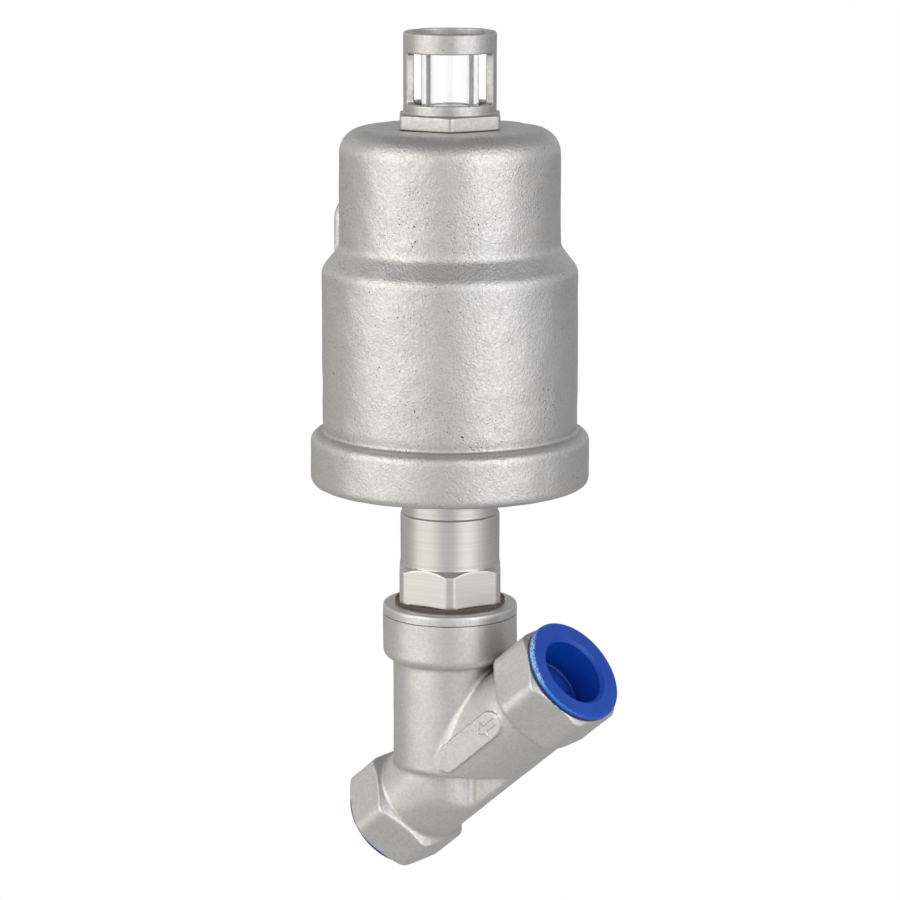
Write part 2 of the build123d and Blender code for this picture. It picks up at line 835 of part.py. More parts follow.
# ---------------------------------------------------------------- piston set
seal_groove_bottom = piston_skirt_bottom + piston_seal_rise
guide_groove_bottom = piston_skirt_bottom + guide_ring_rise
piston_radius = bore_radius - piston_clearance
hub_pocket = spigot_stem_radius + hub_seal_section
with BuildPart() as piston:
    with BuildSketch(Plane.XZ):
        with BuildLine():
            Polyline(
                (hub_pocket, piston_bottom),
                (piston_hub_radius, piston_bottom),
                (piston_hub_radius, piston_skirt_bottom),
                (piston_radius, piston_skirt_bottom),
                (piston_radius, seal_groove_bottom),
                (bore_radius - piston_seal_depth, seal_groove_bottom),
                (bore_radius - piston_seal_depth, seal_groove_bottom + piston_seal_height),
                (piston_radius, seal_groove_bottom + piston_seal_height),
                (piston_radius, guide_groove_bottom),
                (bore_radius - guide_ring_depth, guide_groove_bottom),
                (bore_radius - guide_ring_depth, guide_groove_bottom + guide_ring_height),
                (piston_radius, guide_groove_bottom + guide_ring_height),
                (piston_radius, piston_top),
                (piston_hub_radius, piston_top),
                (piston_hub_radius, piston_seat_top),
                (spigot_stem_radius + assembly_clearance, piston_seat_top),
                (spigot_stem_radius + assembly_clearance, piston_bottom + hub_seal_section),
                (hub_pocket, piston_bottom + hub_seal_section),
                close=True,
            )
        make_face()
    revolve(axis=Axis.Z)
finish(piston.part, "piston")
hub_seal_middle = piston_bottom + hub_seal_section / 2
finish(o_ring(spigot_stem_radius, hub_seal_section, hub_seal_middle), "piston_hub_o_ring")

# lip seal: a U section that opens towards the air side
seal_outer = bore_radius - slide_clearance
seal_inner = bore_radius - piston_seal_depth
piston_seal = turned(
    [
        (seal_inner, seal_groove_bottom),
        (seal_inner + piston_seal_lip, seal_groove_bottom),
        (seal_inner + piston_seal_lip, seal_groove_bottom + 2 * piston_seal_lip),
        (seal_outer - piston_seal_lip, seal_groove_bottom + 2 * piston_seal_lip),
        (seal_outer - piston_seal_lip, seal_groove_bottom),
        (seal_outer, seal_groove_bottom),
        (seal_outer, seal_groove_bottom + piston_seal_height),
        (seal_inner, seal_groove_bottom + piston_seal_height),
    ]
)
finish(piston_seal, "piston_seal")
guide_ring = ring(
    bore_radius - guide_ring_depth,
    bore_radius - slide_clearance,
    guide_groove_bottom,
    guide_groove_bottom + guide_ring_height,
)
finish(guide_ring, "piston_guide_ring")
nut_hole = spigot_stem_radius + assembly_clearance
finish(ring(nut_hole, nut_washer_radius, piston_seat_top, washer_top), "piston_washer")
finish(hex_nut(piston_nut_flats, nut_hole, washer_top, piston_nut_height), "piston_nut")

# ---------------------------------------------------------------- return spring and its guide
spring_height = guide_flange_bottom - piston_top
return_spring = coil(spring_mean_radius, spring_wire, spring_turns, piston_top, spring_height)
finish(return_spring, "return_spring")
spring_guide = turned(
    [
        (guide_tube_inner, guide_tube_bottom),
        (guide_tube_outer, guide_tube_bottom),
        (guide_tube_outer, guide_flange_bottom),
        (guide_flange_radius, guide_flange_bottom),
        (guide_flange_radius, room_top),
        (guide_tube_inner, room_top),
    ]
)
finish(spring_guide, "spring_guide")

# ---------------------------------------------------------------- position indicator
with BuildPart() as indicator_guard:
    with Locations(Location((0, 0, housing_top), (0, 0, hex_turn))):
        add(
            hex_bar(
                indicator_flats,
                indicator_corners,
                indicator_hex_height,
                (indicator_flats / 2, indicator_bevel),
                (indicator_flats / 2, indicator_bevel),
            )
        )
    with BuildSketch(Plane.XZ):
        with BuildLine():
            Polyline(
                (guard_throat, room_top),
                (guard_thread_radius - thread_clearance, room_top),
                (guard_thread_radius - thread_clearance, housing_top),
                (guard_radius, housing_top),
                (guard_radius, guard_top - edge_break),
                (guard_radius - edge_break, guard_top),
                (guard_throat, guard_top),
                close=True,
            )
        make_face()
    revolve(axis=Axis.Z)
    with BuildSketch(Plane.XY.offset(window_seat)):
        Circle(guard_bore)
    extrude(amount=guard_top - window_seat, mode=Mode.SUBTRACT)
    with BuildSketch(Plane.XY.offset(housing_top)):
        Circle(guard_throat)
    extrude(amount=indicator_hex_height + edge_break, mode=Mode.SUBTRACT)
    # two windows, opposite each other, with radial sides
    with BuildSketch(Plane.XY.offset(guard_bottom + window_bottom)):
        for side in (0, 180):
            with BuildLine():
                first_side = window_bearing + side - window_opening / 2
                sweep_edge = CenterArc((0, 0), 2 * guard_radius, first_side, window_opening)
                Line((0, 0), sweep_edge @ 0)
                Line(sweep_edge @ 1, (0, 0))
            make_face()
    extrude(amount=window_opening_height, mode=Mode.SUBTRACT)
finish(indicator_guard.part, "indicator_guard")

indicator_window = turned(
    [
        (window_inner, window_tube_bottom),
        (window_outer, window_tube_bottom),
        (window_outer, window_tube_top - edge_break),
        (window_outer - edge_break, window_tube_top),
        (0, window_tube_top),
        (0, window_tube_top - window_cap),
        (window_inner, window_tube_top - window_cap),
    ]
)
finish(indicator_window, "indicator_window")
window_seal_inner = window_outer - window_o_ring
window_seal_middle = window_seat + window_o_ring / 2
finish(o_ring(window_seal_inner, window_o_ring, window_seal_middle), "indicator_o_ring")

with BuildPart() as indicator_puck:
    with BuildSketch(Plane.XY.offset(puck_bottom)):
        Circle(puck_radius)
    extrude(amount=puck_height)
    fillet(indicator_puck.edges().group_by(Axis.Z)[-1], edge_break)
    with BuildSketch(Plane.XY.offset(puck_bottom)):
        Circle(rod_radius)
    extrude(amount=rod_grip, mode=Mode.SUBTRACT)
finish(indicator_puck.part, "indicator_puck")

with BuildPart() as indicator_rod:
    with BuildSketch(Plane.XY.offset(stem_top - rod_grip)):
        Circle(rod_radius)
    extrude(amount=puck_bottom + rod_grip - stem_top + rod_grip)
finish(indicator_rod.part, "indicator_rod")


# ---------------------------------------------------------------- transport plugs
def transport_plug(port_face, flange_radius, flange_thickness):
    """A push-in plug: thin flange over the port face, blind cup inside the thread.

    port_face is a plane on the port's face, its normal pointing out of the port.
    """
    cup_outer = port_thread_radius - cap_clearance
    cup_inner = cup_outer - cap_wall
    profile = [
        (0, -cap_depth),
        (cup_outer - edge_break, -cap_depth),
        (cup_outer, edge_break - cap_depth),
        (cup_outer, 0),
        (flange_radius, 0),
        (flange_radius, flange_thickness - fine_edge_break),
        (flange_radius - fine_edge_break, flange_thickness),
        (cup_inner + cap_lip_bevel, flange_thickness),
        (cup_inner, flange_thickness - cap_lip_bevel),
        (cup_inner, cap_floor - cap_depth),
        (cap_ring_radius + cap_ring_width, cap_floor - cap_depth),
        (cap_ring_radius + cap_ring_width, cap_floor + cap_ring_height - cap_depth),
        (cap_ring_radius, cap_floor + cap_ring_height - cap_depth),
        (cap_ring_radius, cap_floor - cap_depth),
        (0, cap_floor - cap_depth),
    ]
    section_plane = Plane(origin=port_face.origin, x_dir=port_face.x_dir, z_dir=port_face.y_dir * -1)
    return turned(profile, section_plane)


inlet_face = pipe_plane.offset(inlet_reach)
outlet_face = Plane(origin=flow_direction * -outlet_reach, x_dir=(0, 1, 0), z_dir=flow_direction * -1)
inlet_cap_radius = port_flats / 2 + cap_flange_overhang
outlet_cap_radius = port_flats / 2 - outlet_cap_inset
finish(transport_plug(inlet_face, inlet_cap_radius, cap_flange_thickness), "inlet_plug")
finish(transport_plug(outlet_face, outlet_cap_radius, outlet_cap_thickness), "outlet_plug")
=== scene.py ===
import json
import math
from contextlib import contextmanager

import bmesh
import bpy
import numpy as np
from mathutils import Matrix, Vector


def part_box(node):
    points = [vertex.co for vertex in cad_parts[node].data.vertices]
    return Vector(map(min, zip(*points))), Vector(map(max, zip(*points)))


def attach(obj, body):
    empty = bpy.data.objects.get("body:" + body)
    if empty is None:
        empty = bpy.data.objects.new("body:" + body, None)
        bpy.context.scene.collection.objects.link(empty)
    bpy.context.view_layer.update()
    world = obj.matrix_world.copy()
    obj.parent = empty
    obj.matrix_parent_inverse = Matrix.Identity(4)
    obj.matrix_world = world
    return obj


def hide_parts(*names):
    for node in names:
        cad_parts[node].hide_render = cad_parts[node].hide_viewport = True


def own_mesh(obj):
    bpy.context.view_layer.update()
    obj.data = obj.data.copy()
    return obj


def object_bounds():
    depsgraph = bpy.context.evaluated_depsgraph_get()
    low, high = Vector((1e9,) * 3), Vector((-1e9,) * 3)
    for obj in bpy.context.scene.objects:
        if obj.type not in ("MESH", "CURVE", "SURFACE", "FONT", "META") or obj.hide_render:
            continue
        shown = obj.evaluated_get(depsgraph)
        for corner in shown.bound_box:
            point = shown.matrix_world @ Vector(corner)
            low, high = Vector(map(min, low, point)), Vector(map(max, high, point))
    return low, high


# Looks of a pneumatic angle-seat valve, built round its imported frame.
# Shapes are worked out in millimetres and become metres when a piece is made.

MM = 0.001
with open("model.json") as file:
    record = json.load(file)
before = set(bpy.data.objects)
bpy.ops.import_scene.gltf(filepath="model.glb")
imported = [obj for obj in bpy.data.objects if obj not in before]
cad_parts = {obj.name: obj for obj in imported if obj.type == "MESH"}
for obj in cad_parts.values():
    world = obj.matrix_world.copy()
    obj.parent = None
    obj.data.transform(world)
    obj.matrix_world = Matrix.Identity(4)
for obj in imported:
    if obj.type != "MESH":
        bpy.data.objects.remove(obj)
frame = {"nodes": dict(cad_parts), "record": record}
cad_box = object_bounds()

# ---------- places read from the frame


def span(node):
    """Lowest and highest corner of a CAD node, in millimetres."""
    low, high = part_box(node)
    return np.array(low) / MM, np.array(high) / MM


mounts = {mount["name"]: mount for mount in frame["record"]["mounts"]}


def mount_place(name):
    """Where a mount is, in millimetres."""
    return np.array(mounts[name]["pos_m"]) / MM


flow = np.array(mounts["pipe_line"]["axis"])
flow_side = np.array([0.0, 1.0, 0.0])
flow_up = np.cross(flow, flow_side)
inlet_reach = float(mount_place("inlet_port") @ flow)
outlet_reach = -float(mount_place("outlet_port") @ flow)
collar_top = span("valve_body")[1][2]
bonnet_bottom, bonnet_top = span("bonnet")[0][2], span("bonnet")[1][2]
hex_bottom = span("body_gasket")[1][2]
rim_bottom, housing_top = span("actuator_housing")[0][2], span("actuator_housing")[1][2]
room_top, guard_top = span("indicator_guard")[0][2], span("indicator_guard")[1][2]
plate_bottom = span("base_plate")[0][2]
ring_bottom = span("snap_ring")[0][2]
seat_top = span("seat_seal")[0][2]
lower_air = mount_place("control_air_port")
upper_air = mount_place("vent_air_port")

# ---------- casting and machining sizes
barrel_radius = 14.0
barrel_floor = 2.4
collar_radius = 16.5
collar_underside = 29.5
collar_round = 2.2
lip_groove_drop = 2.6
lip_groove_size = 0.4
pipe_radius = 12.2
bowl_offset = -2.5
bowl_widening = 0.8
bowl_widening_length = 6.0
pipe_middle = 11.0
pipe_half_length = 23.0
rib_thickness = 4.8
rib_fillet = 1.6
barrel_fillet = 1.3
hex_edge_round = 0.3
pad_round = 0.2
port_flats = 26.3
port_corners = 29.2
inlet_hex_length = 14.0
outlet_hex_length = 12.3
hex_shoulder = 1.6
pad_length = 24.0
pad_width = 6.4
pad_centre = 19.8
pad_raise = 0.45
arrow_place = 7.5
arrow_length = 6.5
arrow_head_length = 2.4
arrow_head_width = 4.2
arrow_shaft_width = 1.6
arrow_stroke = 0.5
arrow_raise = 0.32
chamber_radius = 11.0
chamber_floor = 5.5
seat_radius = 6.5
orifice_drop = 3.0
passage_radius = 7.5
bonnet_thread_radius = 12.0
lip_groove_half_width = 0.45

pipe_thread = {"minor": 9.3, "major": 10.45, "pitch": 1.814, "depth": 13.0}
air_thread = {"minor": 4.28, "major": 4.86, "pitch": 0.907, "depth": 8.0}

bonnet_flats = 24.6
bonnet_corners = 27.3
bonnet_hex_height = 9.0
neck_radius = 12.1
neck_length = 12.6
spigot_radius = 11.7
spigot_length = 9.4
top_thread_radius = 10.45
wiper_bore_radius = 6.5
stem_hole_radius = 5.2
packing_bore_radius = 7.8
packing_floor = 1.2
hex_turn = math.radians(8)

rim_radius = 33.9
rim_straight_top = 82.75
rim_top = rim_straight_top + 3.4
rim_bottom_round = 2.0
rim_round = 2.4
crease_inset = 0.25
crease_fillet = 0.7
crease_reach = 1.3
main_radius = 31.0
shoulder_bottom = 125.9
shoulder_top = 131.2
shoulder_fillet = 3.6
shoulder_round = 3.2
upper_radius = 26.7
top_fillet = 6.0
bore_radius = 25.0
bore_top = 121.0
spring_room_radius = 22.5
plate_seat_radius = 29.0
snap_groove_radius = 30.2
plate_top = 80.6
air_pad_radius = 6.35
air_pad_tail = 6.0
air_pad_fillet = 1.6
air_drill_radius = 1.5
lower_air_depth = 8.0
upper_air_depth = 7.0

guard_flats = 24.0
guard_corners = 27.4
guard_hex_height = 3.5
guard_radius = 11.2
guard_bore = 9.3
guard_throat = 4.2
guard_thread_radius = 9.45
window_bottom = 2.5
window_top_band = 5.0
window_opening = math.radians(132)
window_centre = math.radians(-52)

cap_flange_radius = 13.25
cap_flange_thickness = 1.6
outlet_cap_radius = 12.5
outlet_cap_thickness = 1.2
cap_depth = 9.5
cap_outer = 9.2
cap_inner = 8.3
cap_floor = 1.2
cap_lip = 0.8
# a hair smaller than the CAD flange, to stay inside it
cap_radius_ease = 0.03
cap_thickness_ease = 0.02

window_wall = 2.2
window_roof = 1.5
puck_grooves = (2.5, 5.0, 7.5)
spring_wire_size = 4.0
spring_turns = 7.0

# size of the net laid on each casting
body_voxel = 0.42
housing_voxel = 0.57
guard_voxel = 0.22
bonnet_voxel = 0.25
skin_depth = 1.2

FAR_INSIDE = -50.0
EDGE = 0.5
UP = (0, 0, 1)

# ---------- outlines and distances


def rounded(*corners, arc_step=math.radians(12)):
    """A closed outline from (radius, height) corners; a third number rounds its corner to that radius."""
    outline = []
    for before, corner, after in zip(corners[-1:] + corners[:-1], corners, corners[1:] + corners[:1]):
        here = np.array(corner[:2], float)
        if len(corner) < 3:
            outline.append(here)
            continue
        back = np.array(before[:2], float) - here
        ahead = np.array(after[:2], float) - here
        back /= np.linalg.norm(back)
        ahead /= np.linalg.norm(ahead)
        half = math.acos(np.clip(back @ ahead, -1, 1)) / 2
        turn = math.pi - 2 * half
        bisector = (back + ahead) / np.linalg.norm(back + ahead)
        centre = here + bisector * corner[2] / math.sin(half)
        first = here + back * corner[2] / math.tan(half) - centre
        last = here + ahead * corner[2] / math.tan(half) - centre
        steps = max(2, math.ceil(turn / arc_step))
        for step in range(steps + 1):
            share = step / steps
            swing = math.sin((1 - share) * turn) * first + math.sin(share * turn) * last
            outline.append(centre + swing / math.sin(turn))
    return np.array(outline)


def outline_distance(radius, height, outline):
    """Signed distance to a closed outline, negative inside. Points on the axis count as far inside."""
    corners = outline.copy()
    corners[corners[:, 0] <= 0, 0] = FAR_INSIDE
    nearest = np.full(radius.shape, np.inf)
    crossings = np.zeros(radius.shape, bool)
    for (r0, z0), (r1, z1) in zip(corners, np.roll(corners, -1, axis=0)):
        edge_r, edge_z = r1 - r0, z1 - z0
        length = edge_r**2 + edge_z**2
        if length == 0:
            continue
        along = np.clip(((radius - r0) * edge_r + (height - z0) * edge_z) / length, 0, 1)
        gap = (radius - r0 - along * edge_r) ** 2 + (height - z0 - along * edge_z) ** 2
        nearest = np.minimum(nearest, gap)
        if edge_z:
            meets = r0 + (height - z0) * edge_r / edge_z
            crossings ^= ((z0 > height) != (z1 > height)) & (radius < meets)
    return np.where(crossings, -1, 1) * np.sqrt(nearest)


def both(first, second, rounding=0.0):
    """Distance to what two shapes share, its new edge rounded."""
    outside = np.hypot(np.maximum(first + rounding, 0), np.maximum(second + rounding, 0))
    return np.minimum(np.maximum(first, second), -rounding) + outside


def joined(first, second, fillet=0.0):
    """Distance to two shapes cast as one, with a fillet in the corner between them."""
    return -both(-first, -second, fillet)


def hexagon(across, up, flats, turn=0.0, rounding=0.25):
    """Distance to an endless hexagon bar with a corner on the across axis."""
    result = None
    for side in range(6):
        angle = turn + math.radians(30 + 60 * side)
        flat = across * math.cos(angle) + up * math.sin(angle) - flats / 2
        result = flat if result is None else both(result, flat, rounding)
    return result


def pipe_places(points):
    """Distance along the pipe line, across it and above it."""
    return points @ flow, points @ flow_side, points @ flow_up


# ---------- valve body shape
barrel_outline = rounded(
    (0, barrel_floor),
    (barrel_radius, barrel_floor, 1.2),
    (barrel_radius, collar_underside, 0.7),
    (collar_radius, collar_underside, collar_round),
    (collar_radius, collar_top, 0.9),
    (0, collar_top),
)


def port_hexagon(start, length, open_end):
    """Outline along the pipe of a port's hexagon: bevelled at the open end, shouldered at the other."""
    face, shoulder = (start + length, start) if open_end > 0 else (start, start + length)
    inward = -1 if open_end > 0 else 1
    return rounded(
        (0, shoulder),
        (pipe_radius - 0.6, shoulder),
        (port_corners / 2, shoulder - inward * hex_shoulder, 0.5),
        (port_corners / 2, face + inward * hex_shoulder / 2, 0.25),
        (port_flats / 2 + 0.1, face, 0.2),
        (0, face),
    )


inlet_hex_outline = port_hexagon(inlet_reach - inlet_hex_length, inlet_hex_length, 1)
outlet_hex_outline = port_hexagon(-outlet_reach, outlet_hex_length, -1)


def body_casting(points):
    """Distance to the body casting before its bores are cut."""
    x, y, z = points.T
    along, across, up = pipe_places(points)
    off_pipe = np.hypot(across, up)
    barrel = outline_distance(np.hypot(x, y), z, barrel_outline)
    pipe = both(off_pipe - pipe_radius, np.abs(along - pipe_middle) - pipe_half_length)
    widening = bowl_widening * np.clip((bowl_offset - x) / bowl_widening_length, 0, 1)
    bowl = np.hypot(np.maximum(x - bowl_offset, 0), y) - pipe_radius - widening
    rib = np.abs(y) - rib_thickness / 2
    below = joined(barrel_floor - z, joined(bowl, rib, rib_fillet), 0.5)
    pipe = both(pipe, below, 0.9)
    casting = joined(barrel, pipe, barrel_fillet)
    flats = hexagon(across, up, port_flats, rounding=hex_edge_round)
    for outline in (inlet_hex_outline, outlet_hex_outline):
        turned = outline_distance(off_pipe, along, outline)
        casting = joined(casting, both(flats, turned, hex_edge_round), 0.6)
    # cast pad for the flow arrow
    half_straight = (pad_length - pad_width) / 2
    stadium = np.hypot(np.maximum(np.abs(along - pad_centre) - half_straight, 0), up) - pad_width / 2
    pad = both(stadium, -y - pipe_radius - pad_raise, pad_round)
    pad = both(pad, y + pipe_radius / 2)
    return joined(casting, pad, pad_round)


# ---------- actuator housing shape
housing_outline = rounded(
    (0, rim_bottom),
    (rim_radius, rim_bottom, rim_bottom_round),
    (rim_radius, rim_top, rim_round),
    (main_radius - crease_inset, rim_top, crease_fillet),
    (main_radius, rim_straight_top + 6.0, 1.5),
    (main_radius, shoulder_bottom, shoulder_fillet),
    (upper_radius, shoulder_top, shoulder_round),
    (upper_radius, housing_top, top_fillet),
    (0, housing_top),
)


def housing_casting(points):
    """Distance to the housing casting before its bores are cut."""
    x, y, z = points.T
    casting = outline_distance(np.hypot(x, y), z, housing_outline)
    for port in (lower_air, upper_air):
        above = z - port[2]
        round_top = np.where(above > 0, np.hypot(y, above), np.abs(y)) - air_pad_radius
        pad = both(both(round_top, port[0] - x, 0.7), x + spring_room_radius)
        foot = rim_bottom if port is lower_air else port[2] - air_pad_radius - air_pad_tail
        pad = both(pad, foot - z, 1.0)
        casting = joined(casting, pad, air_pad_fillet)
    return casting


# ---------- bonnet and indicator guard shapes
hex_top = hex_bottom + bonnet_hex_height
neck_top = hex_top + neck_length
spigot_top = neck_top + spigot_length
bonnet_hex_outline = rounded(
    (0, hex_bottom),
    (bonnet_corners / 2 - 0.2, hex_bottom, 0.2),
    (bonnet_corners / 2, hex_bottom + 0.6, 0.2),
    (bonnet_corners / 2, hex_top - 1.2, 0.3),
    (bonnet_flats / 2, hex_top, 0.2),
    (0, hex_top),
)
bonnet_outline = rounded(
    (0, bonnet_bottom),
    (bonnet_thread_radius - 0.05, bonnet_bottom, 0.5),
    (bonnet_thread_radius - 0.05, hex_bottom + 0.5),
    (neck_radius, hex_bottom + 0.5),
    (neck_radius, neck_top, 0.35),
    (spigot_radius, neck_top, 0.25),
    (spigot_radius, spigot_top, 0.2),
    (top_thread_radius, spigot_top),
    (top_thread_radius, bonnet_top, 0.4),
    (0, bonnet_top),
)


def bonnet_blank(points):
    """Distance to the turned and milled bonnet."""
    x, y, z = points.T
    radius = np.hypot(x, y)
    flats = hexagon(x, y, bonnet_flats, hex_turn, 0.2)
    nut = both(flats, outline_distance(radius, z, bonnet_hex_outline), 0.15)
    return joined(outline_distance(radius, z, bonnet_outline), nut, 0.15)


guard_bottom = housing_top + guard_hex_height
guard_hex_outline = rounded(
    (0, housing_top),
    (guard_corners / 2, housing_top, 0.3),
    (guard_corners / 2, guard_bottom, 0.7),
    (0, guard_bottom),
)
guard_outline = rounded(
    (0, room_top),
    (guard_thread_radius, room_top, 0.3),
    (guard_thread_radius, housing_top + EDGE),
    (guard_radius, housing_top + EDGE),
    (guard_radius, guard_top, 0.7),
    (0, guard_top),
)
guard_bore_outline = rounded(
    (0, room_top - 5),
    (guard_throat, room_top - 5),
    (guard_throat, guard_bottom + EDGE),
    (guard_bore, guard_bottom + EDGE),
    (guard_bore, guard_top + 5),
    (0, guard_top + 5),
)


def guard_casting(points):
    """Distance to the slotted cage round the indicator window."""
    x, y, z = points.T
    radius = np.hypot(x, y)
    flats = hexagon(x, y, guard_flats, hex_turn, 0.4)
    foot = both(flats, outline_distance(radius, z, guard_hex_outline), 0.3)
    cage = joined(outline_distance(radius, z, guard_outline), foot, 0.5)
    cage = both(cage, -outline_distance(radius, z, guard_bore_outline), 0.25)
    middle = (guard_bottom + window_bottom + guard_top - window_top_band) / 2
    half_height = middle - guard_bottom - window_bottom
    bearing = np.arctan2(y, x) - window_centre
    from_centre = np.abs((bearing + math.pi / 2) % math.pi - math.pi / 2)
    beside = radius * np.sin(np.clip(from_centre - window_opening / 2, -math.pi / 2, math.pi / 2))
    window = both(beside, np.abs(z - middle) - half_height, 0.8)
    return both(cage, -window, 0.3)


# ---------- meshes


@contextmanager
def editing(mesh):
    """A mesh opened for editing, and written back at the end."""
    worker = bmesh.new()
    worker.from_mesh(mesh)
    yield worker
    worker.to_mesh(mesh)
    worker.free()


def new_object(name, data):
    """An object with this data, in the scene."""
    made = bpy.data.objects.new(name, data)
    bpy.context.scene.collection.objects.link(made)
    return made


def new_mesh(name, points, faces):
    """A mesh from points and faces, its faces turned outwards."""
    mesh = bpy.data.meshes.new(name)
    mesh.from_pydata([tuple(point) for point in points], [], faces)
    with editing(mesh) as worker:
        bmesh.ops.recalc_face_normals(worker, faces=worker.faces)
    return mesh


def set_up(origin, axis):
    """Matrix that carries +Z at the origin to a place and direction."""
    turn = Vector(axis).to_track_quat("Z", "Y").to_matrix().to_4x4()
    return Matrix.Translation(Vector(origin)) @ turn


def on_circle(radius, angle, height):
    """A point at an angle round +Z."""
    return radius * math.cos(angle), radius * math.sin(angle), height


def tube_faces(rings, width, closed):
    """Faces between rings of points; closed joins the last ring to the first."""
    faces = []
    for step in range(rings if closed else rings - 1):
        here, there = step * width, (step + 1) % rings * width
        for side in range(width):
            beside = (side + 1) % width
            faces.append((here + side, here + beside, there + beside, there + side))
    return faces


def lathe(name, outline, segments=96, place=None):
    """A closed mesh turned about +Z from a closed outline."""
    points, rings = [], []
    for radius, height in outline:
        if radius <= 0:
            rings.append([len(points)])
            points.append((0, 0, height))
            continue
        rings.append(list(range(len(points), len(points) + segments)))
        for step in range(segments):
            points.append(on_circle(radius, 2 * math.pi * step / segments, height))
    faces = []
    for ring, following in zip(rings, rings[1:] + rings[:1]):
        if len(ring) == 1 and len(following) == 1:
            continue
        for step in range(segments):
            after = (step + 1) % segments
            corners = [ring[step % len(ring)], ring[after % len(ring)]]
            corners += [following[after % len(following)], following[step % len(following)]]
            faces.append(tuple(dict.fromkeys(corners)))
    mesh = new_mesh(name, points, faces)
    if place:
        mesh.transform(place)
    return mesh


def threaded_bore(name, thread, depth, place, mouth=1.2, overshoot=1.0):
    """A cutter for a tapped hole going down from its mouth: helical grooves, bevelled mouth, plain end."""
    rows_per_turn, segments = 12, 96
    rows = math.ceil((depth + overshoot) / thread["pitch"] * rows_per_turn)
    minor, major = thread["minor"], thread["major"]
    points, rings = [], []
    for row in range(rows + 1):
        height = overshoot - (depth + overshoot) * row / rows
        rings.append(list(range(len(points), len(points) + segments)))
        fade = np.clip((height + depth - 1.5 * thread["pitch"]) / thread["pitch"], 0, 1)
        for step in range(segments):
            turn = step / segments
            phase = (height / thread["pitch"] - turn) % 1
            groove = np.clip(1.3 - 3.2 * abs(phase - 0.5), 0, 1)
            radius = minor + (major - minor) * groove * fade
            radius = max(radius, minor + mouth + height if height < 0 else minor + mouth)
            points.append(on_circle(radius, 2 * math.pi * turn, height))
    top, bottom = len(points), len(points) + 1
    points += [(0, 0, overshoot), (0, 0, -depth)]
    faces = []
    for step in range(segments):
        after = (step + 1) % segments
        faces.append((top, rings[0][step], rings[0][after]))
        faces.append((bottom, rings[-1][after], rings[-1][step]))
        for upper, lower in zip(rings, rings[1:]):
            faces.append((upper[step], lower[step], lower[after], upper[after]))
    mesh = new_mesh(name, points, faces)
    mesh.transform(place)
    return mesh


def worked(mesh, kind, **settings):
    """The mesh after one modifier."""
    piece = new_object("work", mesh)
    modifier = piece.modifiers.new(kind, kind)
    for key, value in settings.items():
        setattr(modifier, key, value)
    evaluated = piece.evaluated_get(bpy.context.evaluated_depsgraph_get())
    result = bpy.data.meshes.new_from_object(evaluated)
    bpy.data.objects.remove(piece)
    return result


def carved(mesh, *cutters):
    """The mesh with each cutter's shape taken out of it."""
    for cutter in cutters:
        tool = new_object("tool", cutter)
        mesh = worked(mesh, "BOOLEAN", operation="DIFFERENCE", solver="MANIFOLD", object=tool)
        bpy.data.objects.remove(tool)
    return mesh


def read_points(mesh):
    """The mesh's points as an array."""
    points = np.empty(len(mesh.vertices) * 3)
    mesh.vertices.foreach_get("co", points)
    return points.reshape(-1, 3)


def write_points(mesh, points):
    """The mesh's points moved to those of an array."""
    mesh.vertices.foreach_set("co", points.astype(np.float32).ravel())
    mesh.update()


def slope(points, distance):
    """The direction in which the distance grows fastest, and how fast."""
    probe = 0.01
    result = np.empty_like(points)
    for axis in range(3):
        shift = np.zeros(3)
        shift[axis] = probe
        result[:, axis] = (distance(points + shift) - distance(points - shift)) / (2 * probe)
    return result


def settled(points, distance, passes=4, longest=0.6):
    """Points moved on to the surface where the distance is nil."""
    for _ in range(passes):
        direction = slope(points, distance)
        steepness = np.maximum((direction**2).sum(1), 0.3)
        move = np.clip(distance(points) / steepness, -longest, longest)
        points = points - direction * move[:, None]
    return points


def unevenness(points, wavelength, seed):
    """A gentle random swell over the points, about 1 high."""
    draw = np.random.default_rng(seed)
    waves = 24
    swell = np.zeros(len(points))
    for _ in range(waves):
        heading = draw.normal(size=3)
        heading *= 2 * math.pi / wavelength / np.linalg.norm(heading) * draw.uniform(0.6, 1.6)
        swell += np.sin(points @ heading + draw.uniform(0, 2 * math.pi))
    return swell / math.sqrt(waves)


def refine(mesh, crease):
    """Split in four the mesh's faces near a crease; crease tells which points are near."""
    near = crease(read_points(mesh))
    with editing(mesh) as worker:
        edges = [edge for edge in worker.edges if near[edge.verts[0].index] and near[edge.verts[1].index]]
        bmesh.ops.subdivide_edges(worker, edges=edges, cuts=1, use_grid_fill=True)


